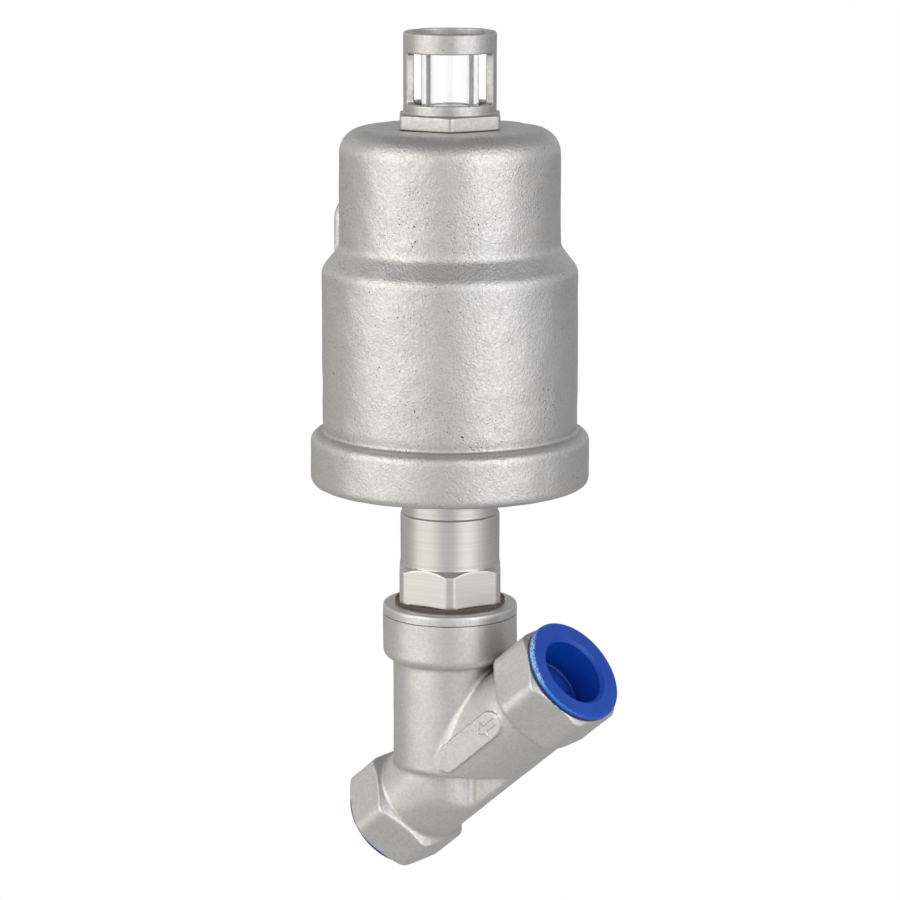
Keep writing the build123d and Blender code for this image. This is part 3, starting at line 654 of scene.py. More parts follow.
def cast_mesh(name, node, distance, voxel, stoppers=(), swell=0.0, seed=1, crease=None):
    """A CAD node's outer skin as a fine even net laid on a shape given by distance."""
    worker = bmesh.new()
    worker.from_mesh(frame["nodes"][node].data)
    bmesh.ops.scale(worker, vec=(1 / MM,) * 3, verts=worker.verts)
    bmesh.ops.remove_doubles(worker, verts=worker.verts, dist=1e-4)
    for stopper in stoppers:
        worker.from_mesh(stopper)
    start = bpy.data.meshes.new(name)
    worker.to_mesh(start)
    worker.free()
    skin = worked(start, "REMESH", mode="VOXEL", voxel_size=voxel)
    deep = distance(read_points(skin)) < -skin_depth
    if deep.any():
        with editing(skin) as worker:
            worker.verts.ensure_lookup_table()
            inner = [worker.verts[i] for i in np.flatnonzero(deep)]
            bmesh.ops.delete(worker, geom=inner, context="VERTS")
    # laid on the shape twice, evened out in between
    write_points(skin, settled(read_points(skin), distance))
    skin = worked(skin, "SMOOTH", factor=0.5, iterations=6)
    if crease:
        refine(skin, crease)
    points = settled(read_points(skin), distance, passes=3, longest=0.3)
    if swell:
        lean = slope(points, distance)
        sink = np.minimum(unevenness(points, 9, seed) - 2, 0)
        points = points + lean * (swell * sink)[:, None]
    write_points(skin, np.clip(points, *span(node)))
    return skin


def make_piece(name, mesh, body, materials, nodes=(), sharp=None):
    """A finished piece in metres, riding on its body and standing for its CAD nodes."""
    mesh.transform(Matrix.Diagonal((MM, MM, MM, 1)))
    mesh.name = name
    mesh.shade_smooth()
    if sharp is not None:
        mesh.set_sharp_from_angle(angle=math.radians(sharp))
    mesh.materials.clear()
    for material in materials:
        mesh.materials.append(material)
    piece = new_object(name, mesh)
    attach(piece, body)
    if nodes:
        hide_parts(*nodes)
    return piece


# ---------- material helpers


def add_node(tree, kind, inputs=None, **settings):
    """A shader node; inputs maps a socket's name or number to a value or to another node's output."""
    made = tree.nodes.new(kind)
    for key, value in settings.items():
        setattr(made, key, value)
    for key, value in (inputs or {}).items():
        if isinstance(value, bpy.types.NodeSocket):
            tree.links.new(value, made.inputs[key])
        else:
            made.inputs[key].default_value = value
    return made


def maths(tree, operation, first, second):
    """A calculation with two numbers."""
    return add_node(tree, "ShaderNodeMath", {0: first, 1: second}, operation=operation).outputs[0]


def times(tree, first, second):
    return maths(tree, "MULTIPLY", first, second)


def plus(tree, first, second):
    return maths(tree, "ADD", first, second)


def minus(tree, first, second):
    return maths(tree, "SUBTRACT", first, second)


def vector_maths(tree, operation, first, second=(0, 0, 0)):
    """A calculation with vectors: its vector and its number."""
    made = add_node(tree, "ShaderNodeVectorMath", {0: first, 1: second}, operation=operation)
    return made.outputs[0], made.outputs[1]


def between(tree, value, low, high, to_low=0.0, to_high=1.0):
    """A value's place between low and high, kept within the two results."""
    inputs = {0: value, 1: low, 2: high, 3: to_low, 4: to_high}
    return add_node(tree, "ShaderNodeMapRange", inputs).outputs[0]


def tinted(tree, mask, first, second):
    """Two colours mixed by a mask."""
    return add_node(tree, "ShaderNodeMix", {0: mask, 6: first, 7: second}, data_type="RGBA").outputs[2]


def layered(tree, colour, *layers):
    """A colour with others laid over it, each by a mask and a strength."""
    for mask, strength, over in layers:
        colour = tinted(tree, times(tree, mask, strength), colour, over)
    return colour


def own_place(tree):
    """Where a point lies on its own piece, in metres."""
    return add_node(tree, "ShaderNodeTexCoord").outputs["Object"]


def noise(tree, place, scale, detail=2.0, roughness=0.5):
    """Soft noise from 0 to 1."""
    inputs = {"Vector": place, "Scale": scale, "Detail": detail, "Roughness": roughness}
    return add_node(tree, "ShaderNodeTexNoise", inputs).outputs["Fac"]


def new_group(name, inputs, outputs):
    """An empty node group with named sockets. Returns it with its input and output nodes."""
    group = bpy.data.node_groups.new(name, "ShaderNodeTree")
    for socket, (kind, value) in inputs.items():
        made = group.interface.new_socket(socket, in_out="INPUT", socket_type=kind)
        made.default_value = value
    for socket, kind in outputs.items():
        group.interface.new_socket(socket, in_out="OUTPUT", socket_type=kind)
    return group, group.nodes.new("NodeGroupInput").outputs, group.nodes.new("NodeGroupOutput").inputs


def use_group(tree, group, **inputs):
    """A group placed in a material; inputs are named with _ for each space."""
    made = tree.nodes.new("ShaderNodeGroup")
    made.node_tree = group
    for key, value in inputs.items():
        socket = made.inputs[key.replace("_", " ")]
        if isinstance(value, bpy.types.NodeSocket):
            tree.links.new(value, socket)
        else:
            socket.default_value = value
    return made.outputs


def grey(value, warmth=0.0):
    """A grey, warmer above nil and cooler below it."""
    return (value * (1 + warmth), value, value * (1 - 1.4 * warmth), 1)


def shade(colour, share):
    """A colour made darker or brighter by a share."""
    return tuple(min(share * channel, 0.95) for channel in colour[:3]) + (1,)


FLOAT, VECTOR = "NodeSocketFloat", "NodeSocketVector"


def blasted_skin_group():
    """Shot-blasted cast skin: fine orange peel, brown specks in patches, rare pits, slow clouding."""
    inputs = {"Grain": (FLOAT, 0.0008), "Pin Holes": (FLOAT, 0.5)}
    outputs = {"Height": FLOAT, "Holes": FLOAT, "Cloud": FLOAT, "Mottle": FLOAT, "Specks": FLOAT}
    tree, given, out = new_group("blasted_skin", inputs, outputs)
    place = own_place(tree)
    scale = maths(tree, "DIVIDE", 1.0, given["Grain"])
    peel = noise(tree, place, scale, 2.0, 0.55)
    broad = noise(tree, place, times(tree, scale, 0.28), 2.0)
    relief = plus(tree, times(tree, peel, 0.9), times(tree, broad, 0.5))
    patches = between(tree, noise(tree, place, 70.0, 3.0, 0.6), 0.40, 0.64)
    rare = times(tree, patches, given["Pin Holes"])

    def grains(size, usual_start, drop, softness):
        """Spots where a noise passes its start, which drops inside the patches."""
        found = noise(tree, place, times(tree, scale, size), 1.0)
        start = minus(tree, usual_start, times(tree, rare, drop))
        return between(tree, minus(tree, found, start), 0.0, softness)

    holes = grains(0.75, 0.80, 0.075, 0.05)
    results = {
        "Height": minus(tree, relief, times(tree, holes, 0.5)),
        "Holes": holes,
        "Specks": grains(1.5, 0.735, 0.105, 0.06),
        "Cloud": between(tree, noise(tree, place, 45.0, 3.0), 0.3, 0.7),
        "Mottle": between(tree, noise(tree, place, 1100.0, 2.0, 0.65), 0.36, 0.64),
    }
    for name, value in results.items():
        tree.links.new(value, out[name])
    return tree


def corner_light_group():
    """Masks for painted light at corners: painted shade where two faces meet inwards, painted highlight on
    outer edges.
    """
    inputs = {"Hollow Reach": (FLOAT, 0.002), "Ridge Reach": (FLOAT, 0.0008)}
    tree, given, out = new_group("corners", inputs, {"Hollow": FLOAT, "Ridge": FLOAT})
    # ambient occlusion: outside it gives the painted crease shade, inside it gives the painted edge
    # highlight
    for name, inside, start, end in (("Hollow", False, 0.9, 0.35), ("Ridge", True, 0.75, 0.25)):
        reach = {"Distance": given[name + " Reach"]}
        settings = {"samples": 6, "only_local": True, "inside": inside}
        found = add_node(tree, "ShaderNodeAmbientOcclusion", reach, **settings)
        tree.links.new(between(tree, found.outputs["AO"], start, end), out[name])
    return tree


def turned_group():
    """Tool marks round an axis: fine rings of uneven height."""
    inputs = {"Axis": (VECTOR, UP), "Pitch": (FLOAT, 0.00015)}
    tree, given, out = new_group("tool_marks", inputs, {"Height": FLOAT, "Streak": FLOAT})
    place = own_place(tree)
    along = vector_maths(tree, "DOT_PRODUCT", place, given["Axis"])[1]
    wander = times(tree, noise(tree, place, 35.0, 1.0), 0.00025)
    rings = maths(tree, "DIVIDE", plus(tree, along, wander), given["Pitch"])

    def ring_noise(scale, detail):
        inputs = {"W": rings, "Scale": scale, "Detail": detail}
        return add_node(tree, "ShaderNodeTexNoise", inputs, noise_dimensions="1D").outputs["Fac"]

    tree.links.new(ring_noise(1.0, 2.0), out["Height"])
    tree.links.new(between(tree, ring_noise(0.16, 1.0), 0.35, 0.65), out["Streak"])
    return tree


BLASTED, CORNER_LIGHT, TOOL_MARKS = blasted_skin_group(), corner_light_group(), turned_group()


def new_material(name, **constants):
    """A material with one Principled shader; constants are set on its own sockets."""
    material = bpy.data.materials.new(name)
    material.use_nodes = True
    tree = material.node_tree
    shader = tree.nodes["Principled BSDF"]
    for key, value in constants.items():
        shader.inputs[key.replace("_", " ")].default_value = value
    return material, tree, shader


def dress(tree, shader, colour, rough, height, relief):
    """Colour, roughness and bump joined to the shader; relief is the bump's height in metres."""
    bump = add_node(tree, "ShaderNodeBump", {"Height": height, "Distance": relief, "Strength": 1.0})
    for value, socket in ((colour, "Base Color"), (rough, "Roughness"), (bump.outputs[0], "Normal")):
        tree.links.new(value, shader.inputs[socket])


def cast_stainless(name, grain, relief, pin_holes, tone, roughness):
    """Investment-cast stainless, shot blasted to a satin grey, with painted shade in its creases and
    painted highlights on its edges.
    """
    material, tree, shader = new_material(name, Metallic=1.0)
    skin = use_group(tree, BLASTED, Grain=grain, Pin_Holes=pin_holes)
    corner = use_group(tree, CORNER_LIGHT, Hollow_Reach=0.0026, Ridge_Reach=0.0009)
    colour = layered(
        tree,
        tinted(tree, skin["Cloud"], grey(tone, 0.02), grey(tone * 0.94, 0.0)),
        (skin["Mottle"], 0.5, grey(tone * 0.78, 0.02)),
        # painted shade darkens the creases, then a painted highlight lightens the outer edges
        (corner["Hollow"], 0.7, grey(tone * 0.42, 0.04)),
        (corner["Ridge"], 0.5, grey(min(tone * 1.2, 0.9), 0.02)),
        (skin["Specks"], 0.75, (0.20, 0.15, 0.105, 1)),
        (skin["Holes"], 0.9, (0.07, 0.055, 0.045, 1)),
    )
    rough = plus(tree, roughness, times(tree, skin["Mottle"], 0.08))
    rough = minus(tree, rough, times(tree, corner["Ridge"], 0.1))
    rough = plus(tree, rough, times(tree, skin["Holes"], 0.2))
    dress(tree, shader, colour, rough, skin["Height"], relief)
    return material


def turned_metal(name, colour, pitch, relief, roughness, streaks=0.4):
    """Metal with lathe marks round the upright axis, painted shade in its creases and painted highlights on
    its edges.
    """
    material, tree, shader = new_material(name, Metallic=1.0)
    marks = use_group(tree, TOOL_MARKS, Axis=UP, Pitch=pitch)
    corner = use_group(tree, CORNER_LIGHT, Hollow_Reach=0.0012, Ridge_Reach=0.0005)
    mix = layered(
        tree,
        colour,
        (marks["Streak"], streaks, shade(colour, 0.8)),
        # painted shade darkens the creases, then a painted highlight lightens the outer edges
        (corner["Hollow"], 0.7, shade(colour, 0.4)),
        (corner["Ridge"], 0.5, shade(colour, 1.2)),
    )
    rough = plus(tree, roughness, times(tree, marks["Streak"], 0.08))
    dress(tree, shader, mix, rough, marks["Height"], relief)
    return material


def moulded_plastic(name, colour, paler, roughness, relief=0.00002):
    """Plastic or rubber with a faint mould texture, a painted highlight on its edges and painted shade in
    its creases.
    """
    material, tree, shader = new_material(name)
    place = own_place(tree)
    corner = use_group(tree, CORNER_LIGHT, Hollow_Reach=0.0015, Ridge_Reach=0.0005)
    cloud = between(tree, noise(tree, place, 150.0, 3.0), 0.3, 0.7)
    mix = layered(
        tree,
        colour,
        (cloud, 0.25, paler),
        # edges painted paler as a painted highlight, creases painted darker as painted shade
        (corner["Ridge"], 0.6, paler),
        (corner["Hollow"], 0.6, shade(colour, 0.35)),
    )
    rough = plus(tree, roughness, times(tree, cloud, 0.1))
    dress(tree, shader, mix, rough, noise(tree, place, 2500.0, 2.0), relief)
    return material


def plug_plastic_material():
    """Blue polyethylene: turned-looking mould marks, a rim rubbed pale with a torn burr on one side, and
    painted shade in its hollows and on the flange's side.
    """
    material, tree, shader = new_material("blue_polyethylene", Specular_IOR_Level=0.4)
    place = own_place(tree)
    corner = use_group(tree, CORNER_LIGHT, Hollow_Reach=0.004, Ridge_Reach=0.0005)
    cloud = between(tree, noise(tree, place, 190.0, 3.0), 0.35, 0.65)
    colour = tinted(tree, cloud, (0.0025, 0.058, 0.42, 1), (0.004, 0.068, 0.47, 1))
    # distance from the pipe line and bearing round it
    along = vector_maths(tree, "DOT_PRODUCT", place, tuple(flow))[1]
    foot = add_node(tree, "ShaderNodeVectorMath", {0: tuple(flow), "Scale": along}, operation="SCALE")
    spoke = vector_maths(tree, "SUBTRACT", place, foot.outputs[0])[0]
    off_line = vector_maths(tree, "LENGTH", spoke)[1]
    side = vector_maths(tree, "DOT_PRODUCT", spoke, tuple(burr_side))[1]
    towards = maths(tree, "DIVIDE", side, cap_flange_radius * MM)
    tear = noise(tree, place, 1500.0, 3.0, 0.7)
    edge = plus(tree, off_line, times(tree, minus(tree, tear, 0.5), 0.0022))

    def near_rim(value, start, end):
        """From 0 to 1 between two distances in from the flange's edge, in millimetres."""
        return between(tree, value, (cap_flange_radius - start) * MM, (cap_flange_radius - end) * MM)

    front_edge = (inlet_reach + cap_flange_thickness) * MM
    front = between(tree, along, front_edge - 0.0009, front_edge - 0.0004)
    # the flange's side wall painted darker all round, as painted shade
    flange_side_shade = times(tree, near_rim(off_line, 0.3, 0.15), minus(tree, 1.0, front))
    rubbed = times(tree, near_rim(edge, 0.5, 0.2), between(tree, towards, -0.2, 0.75, 0.2, 0.75))
    torn = times(tree, near_rim(edge, 1.1, 0.6), between(tree, towards, 0.78, 0.92))
    torn = times(tree, torn, between(tree, noise(tree, place, 2600.0, 2.0), 0.4, 0.56, 0.15))
    torn = times(tree, torn, front)
    colour = layered(
        tree,
        colour,
        # painted shade in the hollows, then painted shade on the flange's side
        (corner["Hollow"], 0.75, (0.001, 0.010, 0.10, 1)),
        (flange_side_shade, 0.85, (0.002, 0.014, 0.09, 1)),
        (rubbed, front, (0.045, 0.26, 0.78, 1)),
        (torn, 1.0, (0.42, 0.74, 0.97, 1)),
    )
    marks = use_group(tree, TOOL_MARKS, Axis=tuple(flow), Pitch=0.0004)
    height = plus(tree, marks["Height"], times(tree, torn, 6.0))
    dress(tree, shader, colour, plus(tree, 0.33, times(tree, cloud, 0.08)), height, 0.00002)
    return material


housing_skin = cast_stainless("housing_cast_stainless", 0.0006, 0.00013, 1.0, 0.66, 0.43)
body_skin = cast_stainless("body_cast_stainless", 0.0005, 0.00006, 0.3, 0.70, 0.42)
guard_skin = cast_stainless("guard_cast_stainless", 0.0005, 0.00005, 0.2, 0.60, 0.42)
bored_steel = turned_metal("bored_stainless", (0.55, 0.54, 0.52, 1), 0.00018, 0.00002, 0.28)
neck_steel = turned_metal("turned_neck_stainless", (0.66, 0.645, 0.62, 1), 0.00012, 0.00001, 0.38, 0.2)
milled_steel = turned_metal(
    "milled_hexagon_stainless", (0.72, 0.695, 0.66, 1), 0.00016, 0.000008, 0.38, 0.15
)
polished_steel = turned_metal("polished_spigot_stainless", (0.74, 0.72, 0.70, 1), 0.00025, 0.000004, 0.14)
plate_steel = turned_metal("plate_stainless", (0.60, 0.59, 0.57, 1), 0.0002, 0.00001, 0.30)
spring_wire = turned_metal("drawn_spring_wire", (0.45, 0.45, 0.46, 1), 0.0004, 0.000005, 0.30)
piston_alloy = turned_metal("turned_aluminium", (0.77, 0.78, 0.80, 1), 0.0002, 0.00001, 0.32)
gland_brass = turned_metal("turned_brass", (0.78, 0.60, 0.28, 1), 0.00018, 0.00001, 0.28)
burr_side = flow_up * 0.5 - flow_side * 0.87
blue_plastic = plug_plastic_material()
white_ptfe = moulded_plastic("white_ptfe", (0.82, 0.82, 0.79, 1), (0.9, 0.9, 0.88, 1), 0.45)
black_rubber = moulded_plastic("black_seal_rubber", (0.018, 0.018, 0.018, 1), (0.05, 0.05, 0.05, 1), 0.5)
violet_plastic = moulded_plastic("indicator_plastic", (0.09, 0.05, 0.14, 1), (0.2, 0.14, 0.26, 1), 0.35)
gasket_fibre = moulded_plastic(
    "gasket_fibre", (0.085, 0.068, 0.055, 1), (0.16, 0.13, 0.105, 1), 0.7, relief=0.00006
)


def clear_window_material():
    """Clear moulded window with a faint haze and a fine uneven surface."""
    material, tree, shader = new_material("clear_polycarbonate", Transmission_Weight=1.0, IOR=1.49)
    place = own_place(tree)
    haze = between(tree, noise(tree, place, 260.0, 3.0), 0.4, 0.75)
    clear = tinted(tree, haze, (0.985, 0.985, 0.99, 1), (0.965, 0.965, 0.985, 1))
    rough = plus(tree, 0.015, times(tree, haze, 0.05))
    dress(tree, shader, clear, rough, noise(tree, place, 900.0, 2.0), 0.00001)
    return material


clear_plastic = clear_window_material()

# ---------- valve body
inlet_face = set_up(flow * inlet_reach, flow)
outlet_face = set_up(flow * -outlet_reach, -flow)


def plain_bar(radius, bottom, top, place=None, segments=96):
    """A plain round bar between two heights."""
    return lathe("bar", rounded((0, bottom), (radius, bottom), (radius, top), (0, top)), segments, place)


def body_piece():
    stoppers = [
        plain_bar(pipe_thread["major"], -5, 0, inlet_face),
        plain_bar(pipe_thread["major"], -5, 0, outlet_face),
        plain_bar(bonnet_thread_radius + 1, collar_top - 5, collar_top),
    ]
    mesh = cast_mesh("valve_body_casting", "valve_body", body_casting, body_voxel, stoppers, 0.03, 3)
    chamber = rounded(
        (0, -orifice_drop),
        (seat_radius, -orifice_drop),
        (seat_radius, seat_top),
        (seat_radius + 0.8, seat_top),
        (seat_radius + 1.7, chamber_floor),
        (chamber_radius, chamber_floor, 0.4),
        (chamber_radius, bonnet_bottom - EDGE),
        (bonnet_thread_radius, bonnet_bottom - EDGE),
        (bonnet_thread_radius, collar_top + 1),
        (0, collar_top + 1),
    )
    elbow_bottom = -orifice_drop - seat_radius
    elbow = rounded(
        (0, elbow_bottom),
        (seat_radius, elbow_bottom, seat_radius - 0.01),
        (seat_radius, EDGE - orifice_drop),
        (0, EDGE - orifice_drop),
    )
    pipe_line = set_up((0, 0, 0), flow)
    thread_end = inlet_reach - pipe_thread["depth"] + EDGE
    passage = plain_bar(passage_radius, chamber_radius / 2, thread_end, pipe_line)
    with editing(passage) as worker:
        geometry = worker.verts[:] + worker.edges[:] + worker.faces[:]
        floor = {"plane_co": (0, 0, chamber_floor), "plane_no": (0, 0, -1)}
        cut = bmesh.ops.bisect_plane(worker, geom=geometry, clear_outer=True, **floor)
        rim = [item for item in cut["geom_cut"] if isinstance(item, bmesh.types.BMEdge)]
        bmesh.ops.contextual_create(worker, geom=rim)
        bmesh.ops.recalc_face_normals(worker, faces=worker.faces)
    groove = collar_top - lip_groove_drop
    lip = rounded(
        (collar_radius - lip_groove_size, groove),
        (collar_radius + 1, groove - lip_groove_half_width),
        (collar_radius + 1, groove + lip_groove_half_width),
    )
    outlet = plain_bar(seat_radius, -outlet_reach, -seat_radius / 3, pipe_line)
    mesh = carved(
        mesh,
        lathe("chamber", chamber),
        lathe("elbow", elbow),
        passage,
        outlet,
        threaded_bore("inlet_thread", pipe_thread, pipe_thread["depth"], inlet_face),
        threaded_bore("outlet_thread", pipe_thread, pipe_thread["depth"], outlet_face),
        lathe("lip_groove", lip, 180),
    )
    nodes = ["valve_body"]
    make_piece("valve_body_casting", mesh, "valve", [body_skin], nodes, sharp=38)


def housing_piece():
    stoppers = [
        plain_bar(plate_seat_radius + 0.5, rim_bottom, rim_bottom + 1.6),
        plain_bar(guard_thread_radius + 0.5, housing_top - 3, housing_top),
    ]
    faces = []
    for port in (lower_air, upper_air):
        place = set_up(port, (-1, 0, 0))
        faces.append(place)
        stoppers.append(plain_bar(air_thread["major"], -2, 0, place, 48))

    def rim_crease(points):
        radius = np.hypot(points[:, 0], points[:, 1])
        return (np.abs(points[:, 2] - rim_top) < crease_reach) & (radius < rim_radius - 1.2)

    name = "actuator_housing_casting"
    stuff = (housing_casting, housing_voxel, stoppers, 0.05, 7, rim_crease)
    mesh = cast_mesh(name, "actuator_housing", *stuff)
    ledge = ring_bottom - 0.02
    cavity = rounded(
        (0, rim_bottom - 1),
        (plate_seat_radius + 0.6, rim_bottom - 1),
        (plate_seat_radius + 0.6, rim_bottom),
        (plate_seat_radius, rim_bottom + 0.6),
        (plate_seat_radius, ledge),
        (snap_groove_radius, ledge),
        (snap_groove_radius, plate_bottom),
        (plate_seat_radius, plate_bottom),
        (plate_seat_radius, plate_top),
        (bore_radius, plate_top),
        (bore_radius, bore_top),
        (spring_room_radius, bore_top + 4),
        (spring_room_radius, room_top),
        (guard_thread_radius + 0.05, room_top),
        (guard_thread_radius + 0.05, housing_top + 1),
        (0, housing_top + 1),
    )
    cutters = [lathe("cavity", cavity, 180)]
    depths = (lower_air_depth, upper_air_depth)
    for place, port, depth in zip(faces, (lower_air, upper_air), depths):
        cutters.append(threaded_bore("air_thread", air_thread, depth, place, mouth=0.7))
        reach = -port[0] - spring_room_radius + EDGE
        cutters.append(plain_bar(air_drill_radius, -reach, EDGE - depth, place, 32))
    mesh = carved(mesh, *cutters)
    make_piece(name, mesh, "valve", [housing_skin], ["actuator_housing"], sharp=38)


def guard_piece():
    mesh = cast_mesh("indicator_cage", "indicator_guard", guard_casting, guard_voxel, (), 0.02, 11)
    make_piece("indicator_cage", mesh, "valve", [guard_skin], ["indicator_guard"])


def bonnet_piece():
    stoppers = [
        plain_bar(9, bonnet_bottom, bonnet_bottom + 1.5),
        plain_bar(9, bonnet_top - 2, bonnet_top),
    ]
    mesh = cast_mesh("bonnet_turning", "bonnet", bonnet_blank, bonnet_voxel, stoppers)
    low = span("packing_washer")[0][2]
    bore = rounded(
        (0, bonnet_bottom - 1),
        (wiper_bore_radius, bonnet_bottom - 1),
        (wiper_bore_radius, low - packing_floor),
        (stem_hole_radius, low - packing_floor),
        (stem_hole_radius, low),
        (packing_bore_radius, low),
        (packing_bore_radius, bonnet_top + 1),
        (0, bonnet_top + 1),
    )
    mesh = carved(mesh, lathe("bonnet_bore", bore))
    finishes = [neck_steel, milled_steel, polished_steel]
    for face in mesh.polygons:
        height = face.center[2]
        if hex_bottom - 0.1 < height < hex_top + 0.05:
            face.material_index = 1
        elif neck_top + 0.05 < height < spigot_top + 0.2:
            face.material_index = 2
        else:
            face.material_index = 0
    make_piece("bonnet_turning", mesh, "valve", finishes, ["bonnet"], sharp=38)


body_piece()
housing_piece()
guard_piece()
bonnet_piece()


def arrow_piece():
    """The raised outline of the flow arrow, pointing down the pipe from the inlet."""
    head, tail = -arrow_length / 2, arrow_length / 2
    neck = head + arrow_head_length
    half_head, half_shaft = arrow_head_width / 2, arrow_shaft_width / 2
    corners = [(head, 0), (neck, half_head), (neck, half_shaft), (tail, half_shaft)]
    corners += [(along, -across) for along, across in corners[:0:-1]]
    centre = np.array([pad_centre + arrow_place, 0])
    line = rounded(*[(a, b, 0.25) for a, b in corners], arc_step=math.radians(20))
    section = [(-0.55, -0.15), (-0.3, 0.55), (-0.12, 0.95), (0.12, 0.95), (0.3, 0.55), (0.55, -0.15)]
    points = []
    ahead = np.roll(line, -1, axis=0) - line
    ahead /= np.linalg.norm(ahead, axis=1)[:, None]
    behind = np.roll(ahead, 1, axis=0)
    tangent = ahead + behind
    tangent /= np.linalg.norm(tangent, axis=1)[:, None]
    for (a, b), (ta, tb) in zip(line, tangent):
        for side, rise in section:
            spot = centre + np.array([a, b]) + np.array([-tb, ta]) * side * arrow_stroke
            y = -(pipe_radius + pad_raise + rise * arrow_raise)
            points.append(flow * spot[0] + flow_up * spot[1] + flow_side * y)
    mesh = new_mesh("flow_arrow", points, tube_faces(len(line), len(section), closed=True))
    make_piece("flow_arrow", mesh, "valve", [body_skin], sharp=50)


arrow_piece()

# ---------- transport plugs


def plug_piece(name, node, place, flange_radius, flange_thickness):
    """A moulded push-in plug: thin flange, tapered blind cup, faint rings in its floor."""
    flange_radius = flange_radius - cap_radius_ease
    flange_thickness = flange_thickness - cap_thickness_ease
    floor = cap_floor - cap_depth
    outline = rounded(
        (0, -cap_depth),
        (cap_outer - 0.3, -cap_depth, 0.5),
        (cap_outer, -1.0),
        (cap_outer, 0),
        (flange_radius, 0, 0.25),
        (flange_radius, flange_thickness, 0.35),
        (cap_inner + cap_lip, flange_thickness, 0.25),
        (cap_inner, flange_thickness - cap_lip, 0.3),
        (cap_inner - 0.15, floor, 0.5),
        (6.3, floor, 0.1),
        (6.2, floor + 0.3, 0.12),
        (5.7, floor + 0.3, 0.12),
        (5.6, floor, 0.1),
        (2.3, floor, 0.1),
        (2.2, floor + 0.2, 0.1),
        (1.9, floor + 0.2, 0.1),
        (1.8, floor, 0.1),
        (0, floor),
    )
    mesh = lathe(name, outline, 144, place)
    make_piece(name, mesh, node, [blue_plastic], [node], sharp=60)


plug_piece("inlet_plug_moulding", "inlet_plug", inlet_face, cap_flange_radius, cap_flange_thickness)
plug_piece("outlet_plug_moulding", "outlet_plug", outlet_face, outlet_cap_radius, outlet_cap_thickness)

# ---------- indicator window and puck


def window_piece():
    name = "indicator_window_moulding"
    low, high = span("indicator_window")
    outer, inner, roof = high[0], high[0] - window_wall, high[2] - window_roof
    outline = rounded(
        (inner, low[2], 0.2),
        (outer, low[2], 0.2),
        (outer, high[2], 0.8),
        (0, high[2]),
        (0, roof),
        (inner, roof, 0.6),
    )
    mesh = lathe(name, outline, 128)
    make_piece(name, mesh, "valve", [clear_plastic], ["indicator_window"], sharp=60)


def puck_piece():
    """The slim indicator, its side ribbed, its top edge rounded."""
    name = "indicator_puck_moulding"
    low, high = span("indicator_puck")
    radius = high[0]
    corners = [(0, low[2]), (radius, low[2], 0.3)]
    for groove in puck_grooves:
        height = low[2] + groove
        corners += [
            (radius, height - 0.35, 0.15),
            (radius - 0.25, height, 0.1),
            (radius, height + 0.35, 0.15),
        ]
    corners += [(radius, high[2], 0.7), (0, high[2])]
    mesh = lathe(name, rounded(*corners))
    make_piece(name, mesh, "stem_set", [violet_plastic], ["indicator_puck"], sharp=60)


window_piece()
puck_piece()

# ---------- return spring


def spring_piece():
    name = "return_spring_wire"
    low, high = span("return_spring")
    facets, steps_per_turn = 16, 40
    wire_radius = spring_wire_size / 2
    mean = high[0] - wire_radius
    steps = int(spring_turns * steps_per_turn)
    points = []
    for step in range(steps + 1):
        share = step / steps
        angle = 2 * math.pi * spring_turns * share
        height = low[2] + wire_radius + (high[2] - low[2] - spring_wire_size) * share
        for facet in range(facets):
            round_wire = 2 * math.pi * facet / facets
            radius = mean + wire_radius * math.cos(round_wire)
            points.append(on_circle(radius, angle, height + wire_radius * math.sin(round_wire)))
    faces = tube_faces(steps + 1, facets, closed=False)
    faces.append(tuple(range(facets)))
    faces.append(tuple(range(steps * facets, (steps + 1) * facets)))
    mesh = new_mesh(name, points, faces)
    piece = make_piece(name, mesh, "valve", [spring_wire], ["return_spring"], sharp=50)
    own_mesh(piece)


spring_piece()

# ---------- finishes of the CAD nodes that stay
node_finishes = {
    bored_steel: "stem plug_disc disc_pin seal_retainer seal_nut piston_washer piston_nut",
    plate_steel: "base_plate snap_ring packing_washer pressure_ring",
    gasket_fibre: "body_gasket",
    spring_wire: "packing_spring indicator_rod",
    piston_alloy: "piston spring_guide",
    gland_brass: "gland_nut stem_bush",
    white_ptfe: "seat_seal packing_rings lower_packing_adapter upper_packing_adapter"
    " piston_guide_ring wiper_ring",
    black_rubber: "stem_o_ring base_o_ring piston_seal piston_hub_o_ring indicator_o_ring",
}
for finish, names in node_finishes.items():
    for name in names.split():
        for place in frame["nodes"][name].material_slots:
            place.material = finish

# ---------- floor, light and camera
VIEW_AZIMUTH, VIEW_RISE = math.radians(38), math.radians(11.2)
VIEW_CENTRE = Vector((0, 0, 0.081))
VIEW_DISTANCE = 0.8516
LIGHT_RISE = math.radians(14)
LIGHT_DISTANCE = 0.9
LIGHT_WIDTH, LIGHT_HEIGHT = 0.42, 1.1
WHITE = (1, 1, 1, 1)


def seen_from(azimuth, rise, distance):
    """A place round the view centre; azimuth 0 looks along +Y."""
    level = math.cos(rise)
    back = Vector((math.sin(azimuth) * level, -math.cos(azimuth) * level, math.sin(rise)))
    return VIEW_CENTRE + back * distance


def face_centre(piece):
    """Turn a light or camera to look at the view centre."""
    piece.rotation_mode = "QUATERNION"
    piece.rotation_quaternion = (piece.location - VIEW_CENTRE).to_track_quat("Z", "Y")


def show_white(tree, usual, white, output):
    """White where the backdrop is looked at, straight or through the clear window; the usual elsewhere."""
    path = add_node(tree, "ShaderNodeLightPath").outputs
    seen = maths(tree, "MAXIMUM", path["Is Camera Ray"], path["Is Transmission Ray"])
    mix = add_node(tree, "ShaderNodeMixShader", {0: seen, 1: usual.outputs[0], 2: white.outputs[0]})
    tree.links.new(mix.outputs[0], tree.nodes[output].inputs["Surface"])


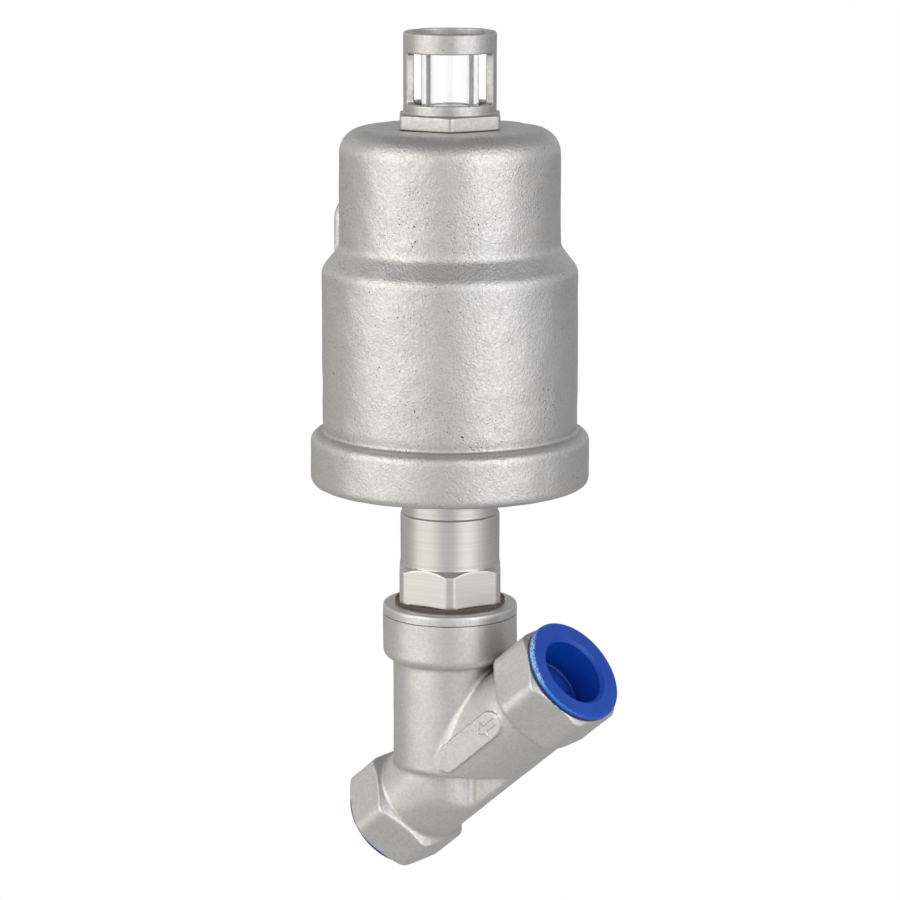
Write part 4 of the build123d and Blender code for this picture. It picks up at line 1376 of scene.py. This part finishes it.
def stage_floor():
    drop, reach = 0.16, 14.0
    low = cad_box[0][2] - drop
    mesh = bpy.data.meshes.new("studio_floor")
    corners = [(-reach, -reach, low), (reach, -reach, low), (reach, reach, low), (-reach, reach, low)]
    mesh.from_pydata(corners, [], [(0, 1, 2, 3)])
    floor = new_object("studio_floor", mesh)
    material, tree, shader = new_material("pale_floor", Roughness=0.9)
    shader.inputs["Base Color"].default_value = grey(0.75)
    white = add_node(tree, "ShaderNodeEmission", {"Color": WHITE, "Strength": 1.0})
    show_white(tree, shader, white, "Material Output")
    mesh.materials.append(material)


def softbox(name, turn, power, colour):
    """A soft panel facing the valve; turn is counted from the camera, right positive."""
    light = bpy.data.lights.new(name, "AREA")
    light.shape, light.size, light.size_y = "RECTANGLE", LIGHT_WIDTH, LIGHT_HEIGHT
    light.energy, light.color = power, colour
    box = new_object(name, light)
    box.location = seen_from(VIEW_AZIMUTH + math.radians(turn), LIGHT_RISE, LIGHT_DISTANCE)
    face_centre(box)
    box.visible_camera = False


def stage_lights():
    warm, cool = (1.0, 0.985, 0.9), (1.0, 0.985, 1.0)
    panels = {-130: 0.33, -75: 1.9, -50: 1.85, -28: 0.92, 28: 1.85, 50: 1.9, 75: 0.5}
    for turn, power in panels.items():
        softbox("panel_%d" % turn, turn, power, warm if turn < 0 else cool)
    world = bpy.data.worlds.new("studio_world")
    bpy.context.scene.world = world
    world.use_nodes = True
    tree = world.node_tree
    background = tree.nodes["Background"]
    background.inputs["Strength"].default_value = 0.66
    # the studio darkens towards its ceiling
    way = add_node(tree, "ShaderNodeTexCoord").outputs["Generated"]
    height = add_node(tree, "ShaderNodeSeparateXYZ", {"Vector": way}).outputs["Z"]
    ceiling = between(tree, height, 0.15, 0.85)
    colour = tinted(tree, ceiling, (0.92, 0.93, 0.95, 1), (0.42, 0.42, 0.43, 1))
    tree.links.new(colour, background.inputs["Color"])
    white = add_node(tree, "ShaderNodeBackground", {"Color": WHITE, "Strength": 1.0})
    show_white(tree, background, white, "World Output")


def stage_camera():
    lens = bpy.data.cameras.new("studio_camera")
    lens.lens, lens.sensor_width = 140, 36
    lens.clip_start, lens.clip_end = 0.01, 100
    camera = new_object("studio_camera", lens)
    camera.location = seen_from(VIEW_AZIMUTH, VIEW_RISE, VIEW_DISTANCE)
    face_centre(camera)
    bpy.context.scene.camera = camera


stage_floor()
stage_lights()
stage_camera()
bpy.context.scene.view_settings.view_transform = "Standard"
